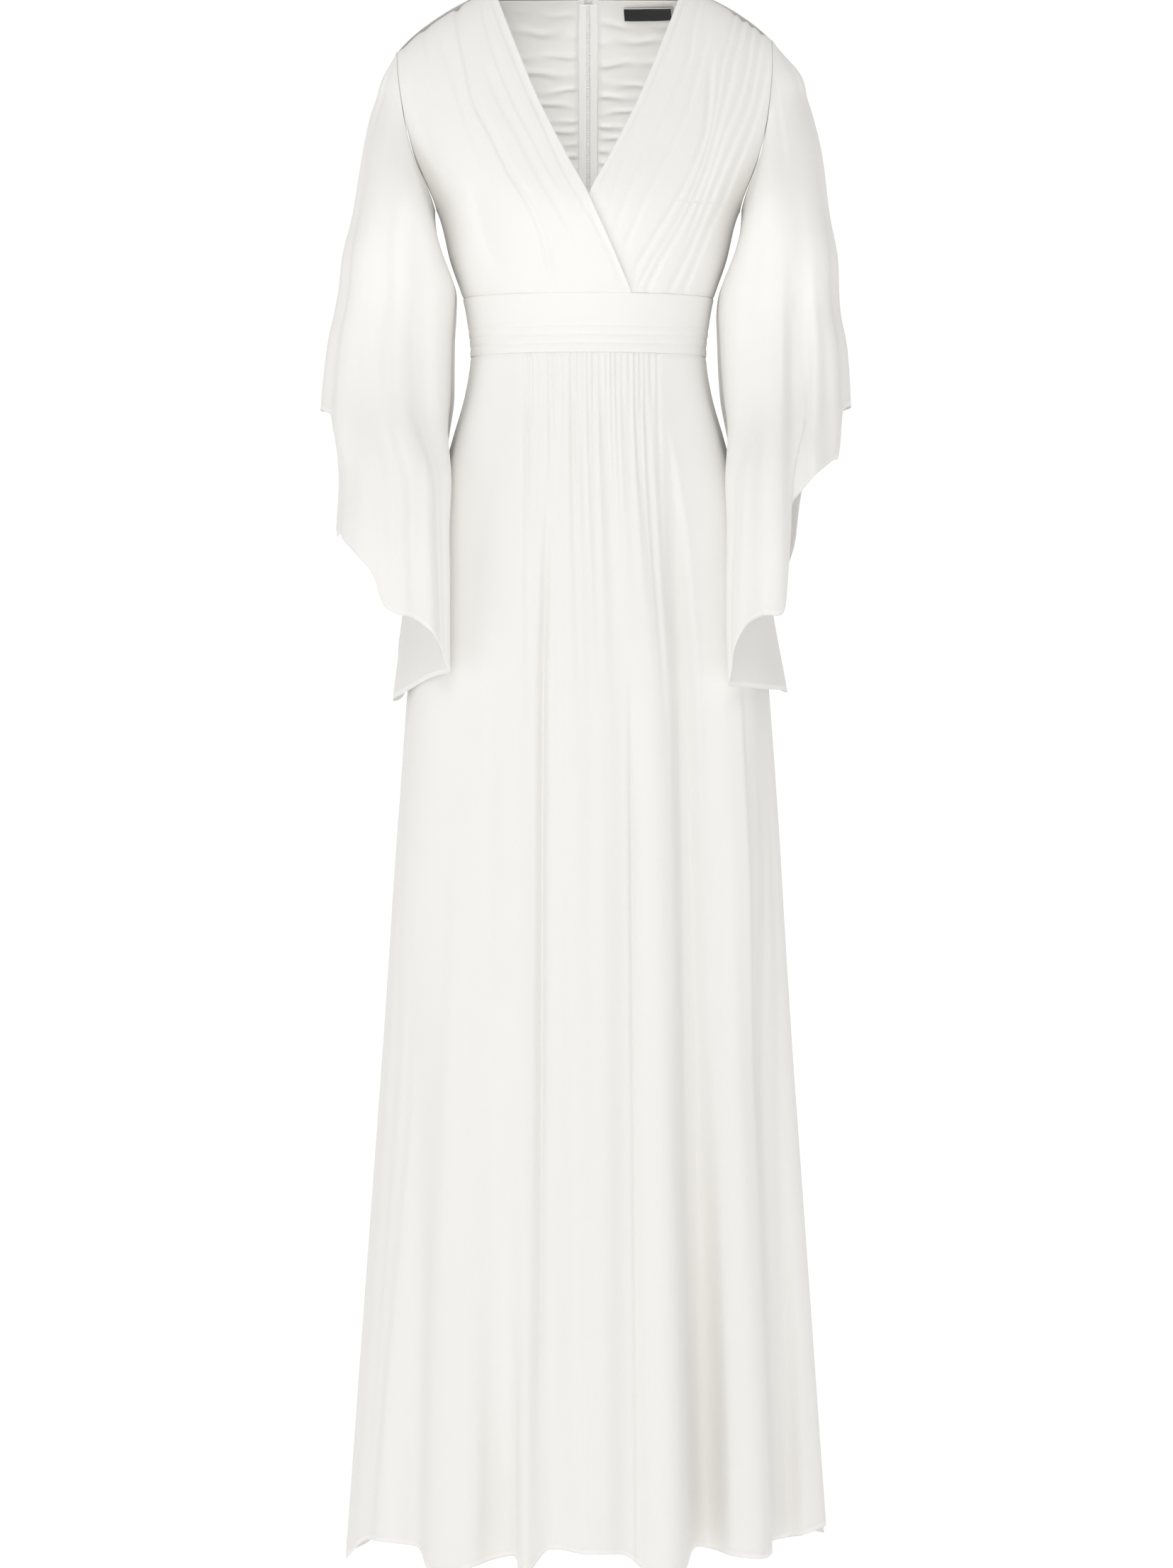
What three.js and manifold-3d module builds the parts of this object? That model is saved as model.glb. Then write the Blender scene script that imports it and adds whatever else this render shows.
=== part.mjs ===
// A floor-length evening dress in thin ivory chiffon, standing filled out as if worn.
// Millimetres, +Z up. The front faces -Y, so the wearer's right is at -X.
// The origin is midway between the shoulder seams, at the height of the neck points.
import * as THREE from 'three';
import { mergeVertices } from 'three/addons/utils/BufferGeometryUtils.js';
import Module from 'manifold-3d';

const wasm = await Module();
wasm.setup();

const DEG = Math.PI / 180;

// cloth and seams
const WALL = 1.4;
const SEAM = 0.3;
const EASE_APART = 0.1;

// heights
const SHOULDER_TIP = { right: -62, left: -50 };
const SHOULDER_BOW = { right: 1.25, left: 1.4 };
const BACK_NECK = 4;
const UNDERARM = -218;
const BAND_TOP = -307;
const TUCKS_TOP = -334;
const WAIST = -363;
const HIP = -700;
const HEM = -1522;
const ZIP_END = -470;

// the general figure that the cut fits: half width, depth to the front and depth to the back
const FIGURE = [
  { z: 20, wide: 200, front: 60, back: 72 },
  { z: 0, wide: 206, front: 64, back: 76 },
  { z: -60, wide: 214, front: 80, back: 86 },
  { z: -110, wide: 206, front: 93, back: 97 },
  { z: -160, wide: 186, front: 107, back: 104 },
  { z: -218, wide: 150, front: 121, back: 103 },
  { z: -269, wide: 136, front: 112, back: 96 },
  { z: -307, wide: 123, front: 98, back: 90 },
  { z: -335, wide: 118, front: 91, back: 88 },
  { z: -363, wide: 116, front: 89, back: 90 },
  { z: -402, wide: 122, front: 94, back: 100 },
  { z: -444, wide: 134, front: 101, back: 113 },
  { z: -500, wide: 149, front: 109, back: 124 },
  { z: -560, wide: 161, front: 117, back: 131 },
  { z: -700, wide: 179, front: 134, back: 145 },
  { z: -1060, wide: 201, front: 162, back: 172 },
  { z: -1340, wide: 219, front: 184, back: 192 },
  { z: -1600, wide: 236, front: 202, back: 208 },
];

// neck edge of the wrap: how far from the middle it runs at each height
const NECKLINE = [
  { z: 12, x: 97 },
  { z: 0, x: 93 },
  { z: -52, x: 74 },
  { z: -115, x: 49 },
  { z: -174, x: 20 },
  { z: -211, x: 0 },
  { z: -307, x: -43 },
  { z: -330, x: -50 },
];

// materials
const CHIFFON = { color: '#f3f0ea', roughness: 0.85 };
const SATIN = { color: '#e3dfd6', roughness: 0.45 };
const TAPE = { color: '#e9e6df', roughness: 0.7 };
const METAL = { color: '#d9d6cf', roughness: 0.35, metalness: 0.6 };
const BLACK = { color: '#17171a', roughness: 0.6 };

const clamp = (value, low, high) => Math.min(high, Math.max(low, value));
const mix = (a, b, t) => a + (b - a) * t;
const ease = (low, high, value) => {
  const t = clamp((value - low) / (high - low), 0, 1);
  return t * t * (3 - 2 * t);
};
const steps = (count, power = 1) => Array.from({ length: count + 1 }, (_, k) => (k / count) ** power);

// smooth curve through the rows of a table, read at one place
function along(rows, place, column, value) {
  const last = rows.length - 1;
  const rising = rows[last][place] > rows[0][place];
  let k = rows.findIndex((row) => (rising ? row[place] > value : row[place] < value)) - 1;
  if (k === -2) k = last - 1;
  k = clamp(k, 0, last - 1);
  const slope = (i) => {
    const before = rows[Math.max(0, i - 1)];
    const after = rows[Math.min(last, i + 1)];
    return (after[column] - before[column]) / (after[place] - before[place]);
  };
  const span = rows[k + 1][place] - rows[k][place];
  const t = clamp((value - rows[k][place]) / span, 0, 1);
  const from = rows[k][column];
  const to = rows[k + 1][column];
  const bow = t * (1 - t) * span * ((1 - t) * slope(k) - t * slope(k + 1));
  return mix(from, to, t * t * (3 - 2 * t)) + bow;
}

// point of the figure: `turn` in degrees round from the middle of the front, towards +X
function figurePoint(turn, z, roll = 1) {
  const wide = along(FIGURE, 'z', 'wide', z);
  const depth = along(FIGURE, 'z', Math.cos(turn * DEG) > 0 ? 'front' : 'back', z);
  return new THREE.Vector3(wide * Math.sin(turn * DEG), -depth * Math.cos(turn * DEG) * roll, z);
}

// level direction away from the figure at that point
function figureOut(turn, z) {
  const wide = along(FIGURE, 'z', 'wide', z);
  const depth = along(FIGURE, 'z', Math.cos(turn * DEG) > 0 ? 'front' : 'back', z);
  return new THREE.Vector3(depth * Math.sin(turn * DEG), -wide * Math.cos(turn * DEG), 0).normalize();
}

// height of the shoulder seam, from its tip at 0 to the neck point at 1
function shoulderLine(side, across) {
  return SHOULDER_TIP[side] * (1 - clamp(across, 0, 1)) ** SHOULDER_BOW[side];
}

// 0 at the shoulder seam, 1 where the chest or back stands upright
function shoulderRoll(drop, reach) {
  const t = clamp(drop / reach, 0, 1);
  return Math.sqrt(t * (2 - t));
}

// soft bump of half-height width `wide`, 1 at the middle
function bump(distance, wide) {
  const t = clamp(distance / (2 * wide), -1, 1);
  return (1 + Math.cos(Math.PI * t)) / 2;
}

function normalAt(surface, u, v, facing) {
  const e = 0.002;
  const across = surface(u + e, v).sub(surface(u - e, v));
  const down = surface(u, v + e).sub(surface(u, v - e));
  return across.cross(down).normalize().multiplyScalar(facing);
}

// closed wall of cloth on a surface. The surface is read at `lines` across and `levels` down, and
// `raise` lifts it along its normal. A round sheet closes on itself.
function clothWall({ surface, raise = () => 0, lines, levels, facing, wall = WALL, round = false }) {
  const positions = [];
  const rows = levels.length;
  const columns = lines.length;
  for (const layer of [0, -wall]) {
    for (const v of levels) {
      for (const u of lines) {
        const normal = normalAt(surface, u, v, facing);
        const point = surface(u, v).addScaledVector(normal, raise(u, v) + layer);
        positions.push(point.x, point.y, point.z);
      }
    }
  }
  const at = (layer, row, column) => layer * rows * columns + row * columns + (column % columns);
  const index = [];
  const quad = (a, b, c, d) => {
    if (facing > 0) index.push(a, b, c, a, c, d);
    else index.push(a, c, b, a, d, c);
  };
  const wide = round ? columns : columns - 1;
  for (let row = 0; row < rows - 1; row++) {
    for (let column = 0; column < wide; column++) {
      const next = column + 1;
      quad(at(0, row, column), at(0, row, next), at(0, row + 1, next), at(0, row + 1, column));
      quad(at(1, row, column), at(1, row + 1, column), at(1, row + 1, next), at(1, row, next));
    }
  }
  for (let column = 0; column < wide; column++) {
    const next = column + 1;
    quad(at(0, 0, next), at(0, 0, column), at(1, 0, column), at(1, 0, next));
    quad(at(0, rows - 1, column), at(0, rows - 1, next), at(1, rows - 1, next), at(1, rows - 1, column));
  }
  if (!round) {
    const edge = columns - 1;
    for (let row = 0; row < rows - 1; row++) {
      quad(at(0, row, 0), at(0, row + 1, 0), at(1, row + 1, 0), at(1, row, 0));
      quad(at(0, row + 1, edge), at(0, row, edge), at(1, row, edge), at(1, row + 1, edge));
    }
  }
  const geometry = new THREE.BufferGeometry();
  geometry.setAttribute('position', new THREE.Float32BufferAttribute(positions, 3));
  geometry.setIndex(index);
  geometry.computeVertexNormals();
  return geometry;
}

const dress = new THREE.Group();

function addPiece(name, geometry, finish) {
  const mesh = new THREE.Mesh(geometry, new THREE.MeshStandardMaterial(finish));
  mesh.name = name;
  dress.add(mesh);
  return mesh;
}

// ---------------------------------------------------------------- armholes

const TIP_TURN = { right: 62, left: 58 };

// turn of the armhole edge at a height: 90 at the side seam, less towards the front and back
function armholeTurn(side, z) {
  const open = clamp((z - UNDERARM) / (SHOULDER_TIP[side] - UNDERARM), 0, 1);
  return 90 - (90 - TIP_TURN[side]) * Math.sqrt(open * (2 - open));
}

// ---------------------------------------------------------------- bodice fronts

const FRONT_ROLL = 190;
const PLEAT_DEPTH = 2.2;
// pleat lines of each front: share of the way from armhole to neck edge at the shoulder seam, and
// from side seam to neck edge at the band
const PLEATS = {
  right: { count: 9, shoulder: [0.14, 0.97], band: [0.32, 0.98] },
  left: { count: 12, shoulder: [0.06, 0.97], band: [0.35, 0.74] },
};
const WRAP_LIFT = 2.5;
const WRAP_EASE = 15;

function neckTurn(z) {
  const x = along(NECKLINE, 'z', 'x', z);
  return Math.asin(x / along(FIGURE, 'z', 'wide', z)) / DEG;
}

// share across the front at a pleat count, which runs past both ends of the pleated part
function pleatShare(side, count, v) {
  const { shoulder, band } = PLEATS[side];
  const share = count / PLEATS[side].count;
  const first = mix(shoulder[0], band[0], ease(0, 1, v));
  const final = mix(shoulder[1], band[1], ease(0, 1, v));
  if (share < 0) return first * (1 + share);
  if (share > 1) return mix(final, 1, share - 1);
  return mix(first, final, share);
}

function frontSurface(side) {
  const mirror = side === 'right' ? -1 : 1;
  return (count, v) => {
    const across = pleatShare(side, count, v);
    const top = shoulderLine(side, across);
    const z = mix(top, BAND_TOP, v);
    const turn = mix(armholeTurn(side, z), neckTurn(z), across);
    const point = figurePoint(mirror * turn, z, shoulderRoll(top - z, FRONT_ROLL));
    point.y -= SEAM + EASE_APART;
    return point;
  };
}

// pleats lie flattest at the shoulder seam and the band. Below the neck point of the wrap the left
// front dips under the right one, which stands a little proud of it.
function frontRaise(side) {
  const { count: pleats } = PLEATS[side];
  const surface = frontSurface(side);
  return (count, v) => {
    const point = surface(count, v);
    const edge = along(NECKLINE, 'z', 'x', point.z);
    const under = side === 'left' ? ease(-WRAP_EASE, 0, -edge - point.x) : 0;
    const over = side === 'right' ? ease(-WRAP_EASE, 0, point.x - edge) : 0;
    const pleated = count > 0 && count < pleats;
    const fold = pleated ? 1 - Math.abs(Math.sin(Math.PI * count)) : 0;
    const depth = PLEAT_DEPTH * mix(0.7, 1, Math.sin(Math.PI * v)) * (1 - under);
    return WRAP_LIFT * (over - under) - depth * fold;
  };
}

function pleatLines(side) {
  const { count } = PLEATS[side];
  const before = steps(5).map((t) => -count * (1 - t)).slice(0, -1);
  const within = steps(2 * count).map((t) => t * count);
  const after = side === 'left' ? [count * 1.5, count * 2] : [count * 2];
  return [...before, ...within, ...after];
}

function addFront(side) {
  const facing = side === 'right' ? -1 : 1;
  addPiece(`front_${side}`, clothWall({
    surface: frontSurface(side),
    raise: frontRaise(side),
    lines: pleatLines(side),
    levels: steps(10, 1.35),
    facing,
  }), CHIFFON);
}

// ---------------------------------------------------------------- bodice backs and their lining

const BACK_ROLL = 150;
const NECK_POINT_SHARE = 0.5;
const BACK_NECK_DEPTH = 0.74;
const ZIP_SLIT = 0.2;

function backSurface(side) {
  const mirror = side === 'right' ? -1 : 1;
  const neckPoint = 180 - neckTurn(0);
  return (share, v) => {
    const neck = ease(NECK_POINT_SHARE, 1, share);
    const shoulder = clamp(share / NECK_POINT_SHARE, 0, 1);
    const top = shoulderLine(side, shoulder) + BACK_NECK * neck;
    const z = mix(top, BAND_TOP, v);
    const edge = 180 - armholeTurn(side, z);
    const level = mix(edge, 180, share);
    const yoke = share < NECK_POINT_SHARE
      ? mix(edge, neckPoint, shoulder)
      : mix(neckPoint, 180, (share - NECK_POINT_SHARE) / (1 - NECK_POINT_SHARE));
    const turn = mix(yoke, level, ease(0, 0.35, v));
    const roll = mix(BACK_NECK_DEPTH * neck, 1, shoulderRoll(top - z, BACK_ROLL));
    const point = figurePoint(mirror * turn, z, roll);
    point.x += mirror * ZIP_SLIT;
    point.y += SEAM + EASE_APART;
    return point;
  };
}

function addBack(side) {
  addPiece(`bodice_back_${side}`, clothWall({
    surface: backSurface(side),
    lines: steps(11),
    levels: steps(11, 1.35),
    facing: side === 'right' ? 1 : -1,
  }), CHIFFON);
}

// share across the back and down it where the lining runs, its distance inside the back and how
// much more at the neck, and its ruches
const LINING = {
  side: 0.3, end: 0.94, top: 0.015, bottom: 0.985, inset: WALL + 1, clear: 2.4, waves: 9, depth: 1.6, wall: 1,
};

// the lining is drawn up along the zip, in sideways ruches that die out towards the side
function liningRaise(share, v) {
  const drawn = ease(0.35, 0.8, share);
  const phase = LINING.waves * v ** 1.15 + 0.35 * Math.sin(3 * share + 5 * v);
  const clear = LINING.inset + LINING.clear * (1 - ease(0.1, 0.8, v));
  return -clear - LINING.depth * drawn * (0.5 - 0.5 * Math.cos(2 * Math.PI * phase));
}

function addLining(side) {
  addPiece(`back_lining_${side}`, clothWall({
    surface: backSurface(side),
    raise: liningRaise,
    lines: steps(8).map((t) => mix(LINING.side, LINING.end, t)),
    levels: steps(18).map((t) => mix(LINING.top, LINING.bottom, t)),
    facing: side === 'right' ? 1 : -1,
    wall: LINING.wall,
  }), SATIN);
}

// ---------------------------------------------------------------- waistband

// rows of the band from top to bottom: smooth cloth, then narrow tucks
const BAND_ROWS = [
  { z: BAND_TOP - SEAM, out: 0 },
  { z: -320, out: 0.4 },
  { z: TUCKS_TOP, out: 0.2 },
  { z: -337, out: -1.4 },
  { z: -341, out: 0.6 },
  { z: -345.5, out: -1.4 },
  { z: -350, out: 0.6 },
  { z: -354, out: -1.4 },
  { z: -358.5, out: 0.6 },
  { z: WAIST, out: -0.8 },
];

function bandSurface(first, last, slit) {
  return (share, drop) => {
    const point = figurePoint(mix(first, last, share), -drop);
    point.x += slit;
    return point;
  };
}

const BAND_DEPTH = 95;

function addBand(name, first, last, columns, slit) {
  const side = SEAM / 2 / BAND_DEPTH / DEG;
  const from = Math.abs(first) === 90 ? first + side * Math.sign(last - first) : first;
  const to = Math.abs(last) === 90 ? last - side * Math.sign(last - first) : last;
  addPiece(name, clothWall({
    surface: bandSurface(from, to, slit),
    raise: (share, drop) => BAND_ROWS.find((row) => row.z === -drop).out,
    lines: steps(columns),
    levels: BAND_ROWS.map((row) => -row.z),
    facing: -1,
  }), CHIFFON);
}

// ---------------------------------------------------------------- skirt

// folds of the skirt: degrees round at hip and hem, how far each stands out there, its width in
// degrees, the height where it starts and how much lower its hem hangs
const SKIRT_FOLDS = [
  { hip: -84, hem: -88, out: 7, wide: 11, from: -800, drop: 26 },
  { hip: -60, hem: -60, out: 5, wide: 8, from: -700, drop: 0 },
  { hip: -52, hem: -47, out: -22, wide: 6, from: -1050, drop: 0 },
  { hip: -46, hem: -33, out: 20, wide: 8, from: -560, drop: 24 },
  { hip: -28, hem: -20, out: -16, wide: 4, from: -1000, drop: 4 },
  { hip: -20, hem: -14.5, out: 8, wide: 3, from: -1150, drop: 20 },
  { hip: -16.5, hem: -9.5, out: -17, wide: 3.6, from: -440, drop: -4 },
  { hip: -5, hem: -2, out: 5, wide: 7, from: -400, drop: 0 },
  { hip: 11, hem: 9.8, out: -15, wide: 3.4, from: -640, drop: 0 },
  { hip: 20, hem: 17.5, out: 20, wide: 5.5, from: -480, drop: 26 },
  { hip: 31, hem: 29, out: -25, wide: 7, from: -400, drop: 0 },
  { hip: 50, hem: 41, out: 16, wide: 7, from: -460, drop: 10 },
  { hip: 66, hem: 53.5, out: -24, wide: 7, from: -520, drop: 0 },
  { hip: 80, hem: 72, out: 8, wide: 9, from: -760, drop: -10 },
  { hip: 96, hem: 94, out: -10, wide: 7, from: -900, drop: -8 },
  { hip: 112, hem: 109, out: 15, wide: 8, from: -600, drop: 10 },
  { hip: 126, hem: 123, out: -20, wide: 7, from: -520, drop: 0 },
  { hip: 138, hem: 136, out: 16, wide: 7, from: -480, drop: 12 },
  { hip: 151, hem: 149, out: -18, wide: 6, from: -500, drop: 0 },
  { hip: 163, hem: 161, out: 14, wide: 6, from: -560, drop: 8 },
  { hip: 174, hem: 173, out: -16, wide: 5, from: -620, drop: 2 },
  { hip: 184, hem: 185, out: 13, wide: 5, from: -620, drop: 8 },
  { hip: 195, hem: 197, out: -18, wide: 6, from: -500, drop: 0 },
  { hip: 208, hem: 210, out: 17, wide: 7, from: -480, drop: 12 },
  { hip: 222, hem: 224, out: -21, wide: 7, from: -540, drop: 0 },
  { hip: 237, hem: 239, out: 15, wide: 8, from: -600, drop: 10 },
  { hip: 254, hem: 256, out: -12, wide: 7, from: -850, drop: 6 },
];
const GATHER_DEPTH = 1.5;
const SKIRT_TOP = WAIST - SEAM;

const roundFrom = (start, turn) => ((((turn - start) % 360) + 360) % 360) + start;
const roundTurn = (turn) => roundFrom(-180, turn);

function foldsAt(turn, z) {
  let out = 0;
  for (const fold of SKIRT_FOLDS) {
    const lower = clamp((HIP - z) / (HIP - HEM), -0.3, 1.1);
    const centre = mix(fold.hip, fold.hem, lower);
    const grown = clamp((fold.from - z) / (fold.from - HEM), 0, 1.05) ** 0.75;
    out += fold.out * grown * bump(roundTurn(turn - centre), fold.wide);
  }
  return out;
}

function hemAt(turn) {
  let z = HEM;
  for (const fold of SKIRT_FOLDS) z -= fold.drop * bump(roundTurn(turn - fold.hem), fold.wide);
  return z;
}

// stretches of a skirt panel: gathers in each, and the turns where it ends at the band and below
// the hip. The gathers fan out between the two.
const SKIRT_FRONT = [
  { lines: 0, gathers: 0, band: -90, hip: -90 },
  { lines: 8, gathers: 0, band: -36, hip: -62 },
  { lines: 46, gathers: 23, band: 37, hip: 62 },
  { lines: 8, gathers: 0, band: 90, hip: 90 },
];
const SKIRT_BACK = [
  { lines: 0, gathers: 0, band: 90, hip: 90 },
  { lines: 8, gathers: 0, band: 134, hip: 118 },
  { lines: 18, gathers: 9, band: 180, hip: 180 },
];
const FAN_END = -820;

// turn and gather phase of the line `u` of a panel, at a height
function panelLine(stretches, u, z) {
  let k = 1;
  let first = 0;
  while (k < stretches.length - 1 && u > first + stretches[k].lines) {
    first += stretches[k].lines;
    k++;
  }
  const { lines, gathers, band, hip } = stretches[k];
  const before = stretches[k - 1];
  const t = (u - first) / lines;
  const fan = ease(SKIRT_TOP, FAN_END, z);
  const turn = mix(mix(before.band, band, t), mix(before.hip, hip, t), fan);
  return { turn, phase: t * gathers, gathers };
}

function skirtLevel(turn, v) {
  return mix(SKIRT_TOP, hemAt(turn), v);
}

function skirtSurface(stretches, mirror, slit) {
  return (u, v) => {
    const { turn } = panelLine(stretches, u, mix(SKIRT_TOP, HEM, v));
    const z = skirtLevel(mirror * turn, v);
    const edge = Math.abs(Math.abs(turn) - 90) < 0.01 ? SEAM / 2 : 0;
    const point = figurePoint(mirror * turn, z);
    point.y += Math.abs(turn) <= 90 ? -edge : edge;
    point.x += mirror * slit;
    return point;
  };
}

function skirtRaise(stretches, mirror) {
  return (u, v) => {
    const { turn, phase, gathers } = panelLine(stretches, u, mix(SKIRT_TOP, HEM, v));
    const z = skirtLevel(mirror * turn, v);
    const gather = gathers ? (Math.cos(2 * Math.PI * phase) - 1) / 2 : 0;
    return foldsAt(mirror * turn, z) + GATHER_DEPTH * gather * (1 - ease(-430, -620, z));
  };
}

// levels of a skirt panel, closer together under the band
function skirtLevels(count) {
  return steps(count, 1.7);
}

function addSkirtPanel(name, stretches, { mirror = 1, slit = 0, levels }) {
  const lines = stretches.reduce((sum, part) => sum + part.lines, 0);
  addPiece(name, clothWall({
    surface: skirtSurface(stretches, mirror, slit),
    raise: skirtRaise(stretches, mirror),
    lines: steps(lines).map((t) => t * lines),
    levels: skirtLevels(levels),
    facing: -mirror,
  }), CHIFFON);
}

// ---------------------------------------------------------------- sleeves

// a sleeve hangs beside the figure: distance out from it on the body side and on the far side, and
// degrees round the figure that it reaches ahead of the side seam and behind it. `flat` is 1 for a
// round section and more where its front and back lie closer to the body.
const SLEEVE_RINGS = [
  { z: -50, nearRight: -34, nearLeft: -34, farRight: -20, farLeft: -10, ahead: 16, behind: 16, flat: 1 },
  { z: -80, nearRight: -36, nearLeft: -36, farRight: -1, farLeft: 8, ahead: 22, behind: 20, flat: 1 },
  { z: -110, nearRight: -34, nearLeft: -34, farRight: 7, farLeft: 13, ahead: 27, behind: 23, flat: 1 },
  { z: -160, nearRight: -18, nearLeft: -18, farRight: 37, farLeft: 45, ahead: 30, behind: 26, flat: 1.1 },
  { z: -220, nearRight: 3, nearLeft: 3, farRight: 84, farLeft: 90, ahead: 29, behind: 26, flat: 1.2 },
  { z: -290, nearRight: 4, nearLeft: 4, farRight: 117, farLeft: 119, ahead: 25, behind: 24, flat: 1.4 },
  { z: -318, nearRight: 12, nearLeft: 8, farRight: 130, farLeft: 129, ahead: 23, behind: 24, flat: 1.5 },
  { z: -360, nearRight: 20, nearLeft: 15, farRight: 143, farLeft: 141, ahead: 23, behind: 24, flat: 1.6 },
  { z: -416, nearRight: 14, nearLeft: 12, farRight: 139, farLeft: 135, ahead: 28, behind: 26, flat: 1.6 },
  { z: -480, nearRight: 10, nearLeft: 10, farRight: 118, farLeft: 118, ahead: 40, behind: 28, flat: 1.6 },
  { z: -540, nearRight: 18, nearLeft: 18, farRight: 110, farLeft: 108, ahead: 45, behind: 28, flat: 1.6 },
  { z: -620, nearRight: 31, nearLeft: 36, farRight: 98, farLeft: 92, ahead: 48, behind: 26, flat: 1.6 },
  { z: -720, nearRight: 20, nearLeft: 40, farRight: 82, farLeft: 82, ahead: 51, behind: 24, flat: 1.6 },
];

// hem of each sleeve, by degrees round it from the outside of the arm by way of the front
const SLEEVE_HEM = {
  right: [
    { round: -60, z: -560 },
    { round: -34, z: -432 },
    { round: -12, z: -414 },
    { round: 8, z: -418 },
    { round: 13, z: -432 },
    { round: 19, z: -532 },
    { round: 26, z: -541 },
    { round: 40, z: -578 },
    { round: 45, z: -612 },
    { round: 60, z: -624 },
    { round: 80, z: -650 },
    { round: 96, z: -672 },
    { round: 130, z: -680 },
    { round: 165, z: -698 },
    { round: 205, z: -699 },
    { round: 240, z: -668 },
    { round: 270, z: -610 },
    { round: 300, z: -560 },
    { round: 326, z: -432 },
  ],
  left: [
    { round: -60, z: -545 },
    { round: -34, z: -430 },
    { round: -12, z: -411 },
    { round: 8, z: -414 },
    { round: 13, z: -430 },
    { round: 18, z: -462 },
    { round: 29, z: -470 },
    { round: 43, z: -500 },
    { round: 51, z: -538 },
    { round: 56, z: -612 },
    { round: 64, z: -622 },
    { round: 80, z: -652 },
    { round: 96, z: -684 },
    { round: 130, z: -690 },
    { round: 165, z: -692 },
    { round: 205, z: -690 },
    { round: 240, z: -660 },
    { round: 270, z: -600 },
    { round: 300, z: -545 },
    { round: 326, z: -430 },
  ],
};

// folds of each sleeve: degrees round it, how far each stands out at the hem and its width
const SLEEVE_FOLDS = {
  right: [
    { round: -22, out: 8, wide: 12 },
    { round: 14, out: -9, wide: 7 },
    { round: 32, out: 5, wide: 9 },
    { round: 52, out: -7, wide: 7 },
    { round: 68, out: 6, wide: 7 },
    { round: 88, out: -5, wide: 8 },
    { round: 215, out: 5, wide: 14 },
    { round: 250, out: -8, wide: 12 },
    { round: 280, out: 7, wide: 12 },
    { round: 308, out: -8, wide: 10 },
  ],
  left: [
    { round: -22, out: 7, wide: 12 },
    { round: 12, out: -8, wide: 7 },
    { round: 34, out: 9, wide: 9 },
    { round: 53, out: -26, wide: 7 },
    { round: 68, out: 8, wide: 7 },
    { round: 88, out: -4, wide: 8 },
    { round: 215, out: 4, wide: 14 },
    { round: 250, out: -7, wide: 12 },
    { round: 280, out: 8, wide: 12 },
    { round: 308, out: -9, wide: 10 },
  ],
};
const HEM_START = -60;
const HEAD_END = 0.22;
const HEAD_POWER = 2.2;
const SLEEVE_LAP = WALL + 0.85;

// a point of the armhole seam, lapped outside the bodice
function armholePoint(side, round) {
  const z = mix(UNDERARM, SHOULDER_TIP[side], (1 + Math.cos(round * DEG)) / 2);
  const v = (SHOULDER_TIP[side] - z) / (SHOULDER_TIP[side] - BAND_TOP);
  const facing = side === 'right' ? 1 : -1;
  const outside = (surface, u, way) => {
    return surface(u, v).addScaledVector(normalAt(surface, u, v, way), SLEEVE_LAP);
  };
  const front = outside(frontSurface(side), -PLEATS[side].count, -facing);
  const back = outside(backSurface(side), 0, facing);
  return back.lerp(front, ease(-0.25, 0.25, Math.sin(round * DEG)));
}

function sleeveSurface(side) {
  const mirror = side === 'right' ? -1 : 1;
  const ring = (column, z) => along(SLEEVE_RINGS, 'z', column, z);
  const near = side === 'right' ? 'nearRight' : 'nearLeft';
  const far = side === 'right' ? 'farRight' : 'farLeft';
  return (round, v) => {
    const seam = armholePoint(side, round);
    const hem = along(SLEEVE_HEM[side], 'round', 'z', roundFrom(HEM_START, round));
    const z = mix(seam.z, hem, v);
    const open = ((1 + Math.cos(round * DEG)) / 2) ** ring('flat', z);
    const out = mix(ring(near, z), ring(far, z), open);
    const reach = ring(Math.sin(round * DEG) > 0 ? 'ahead' : 'behind', z);
    const turn = mirror * (90 - reach * Math.sin(round * DEG));
    const hanging = figurePoint(turn, z).addScaledVector(figureOut(turn, z), out);
    const head = 1 - (1 - clamp(v / HEAD_END, 0, 1)) ** HEAD_POWER;
    const point = seam.lerp(hanging, head);
    point.z = z;
    return point;
  };
}

function sleeveRaise(side) {
  return (round, v) => {
    let out = 0;
    for (const fold of SLEEVE_FOLDS[side]) {
      out += fold.out * bump(roundTurn(round - fold.round), fold.wide);
    }
    return out * ease(0.02, 0.75, v);
  };
}

function addSleeve(side) {
  const rounds = [];
  for (let round = -54; round < 306; round += round < -12 || round > 100 ? 14 : 7) {
    rounds.push(round);
  }
  addPiece(`sleeve_${side}`, clothWall({
    surface: sleeveSurface(side),
    raise: sleeveRaise(side),
    lines: rounds,
    levels: steps(10, 1.25),
    facing: side === 'right' ? -1 : 1,
    round: true,
  }), CHIFFON);
}

// ---------------------------------------------------------------- zip

const TAPE_WIDTH = 19;
const TAPE_INSET = 4.1;
const TAPE_WALL = 1;
const COIL_WIDTH = 4;
const COIL_WALL = 1.6;
const ZIP_TOP = -5;
const SLIDER_Z = -9;

// the middle of the back from the neck down, `x` off the slit
function zipSurface(x, v) {
  const z = mix(ZIP_TOP, ZIP_END, v);
  const turn = 180 - Math.asin(x / along(FIGURE, 'z', 'wide', z)) / DEG;
  return figurePoint(turn, z, mix(BACK_NECK_DEPTH, 1, shoulderRoll(BACK_NECK - z, BACK_ROLL)));
}

function addZipStrip(name, width, inset, wall, columns, rows, finish) {
  addPiece(name, clothWall({
    surface: zipSurface,
    raise: () => -inset,
    lines: steps(columns).map((t) => (t - 0.5) * width),
    levels: steps(rows),
    facing: 1,
    wall,
  }), finish);
}

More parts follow.
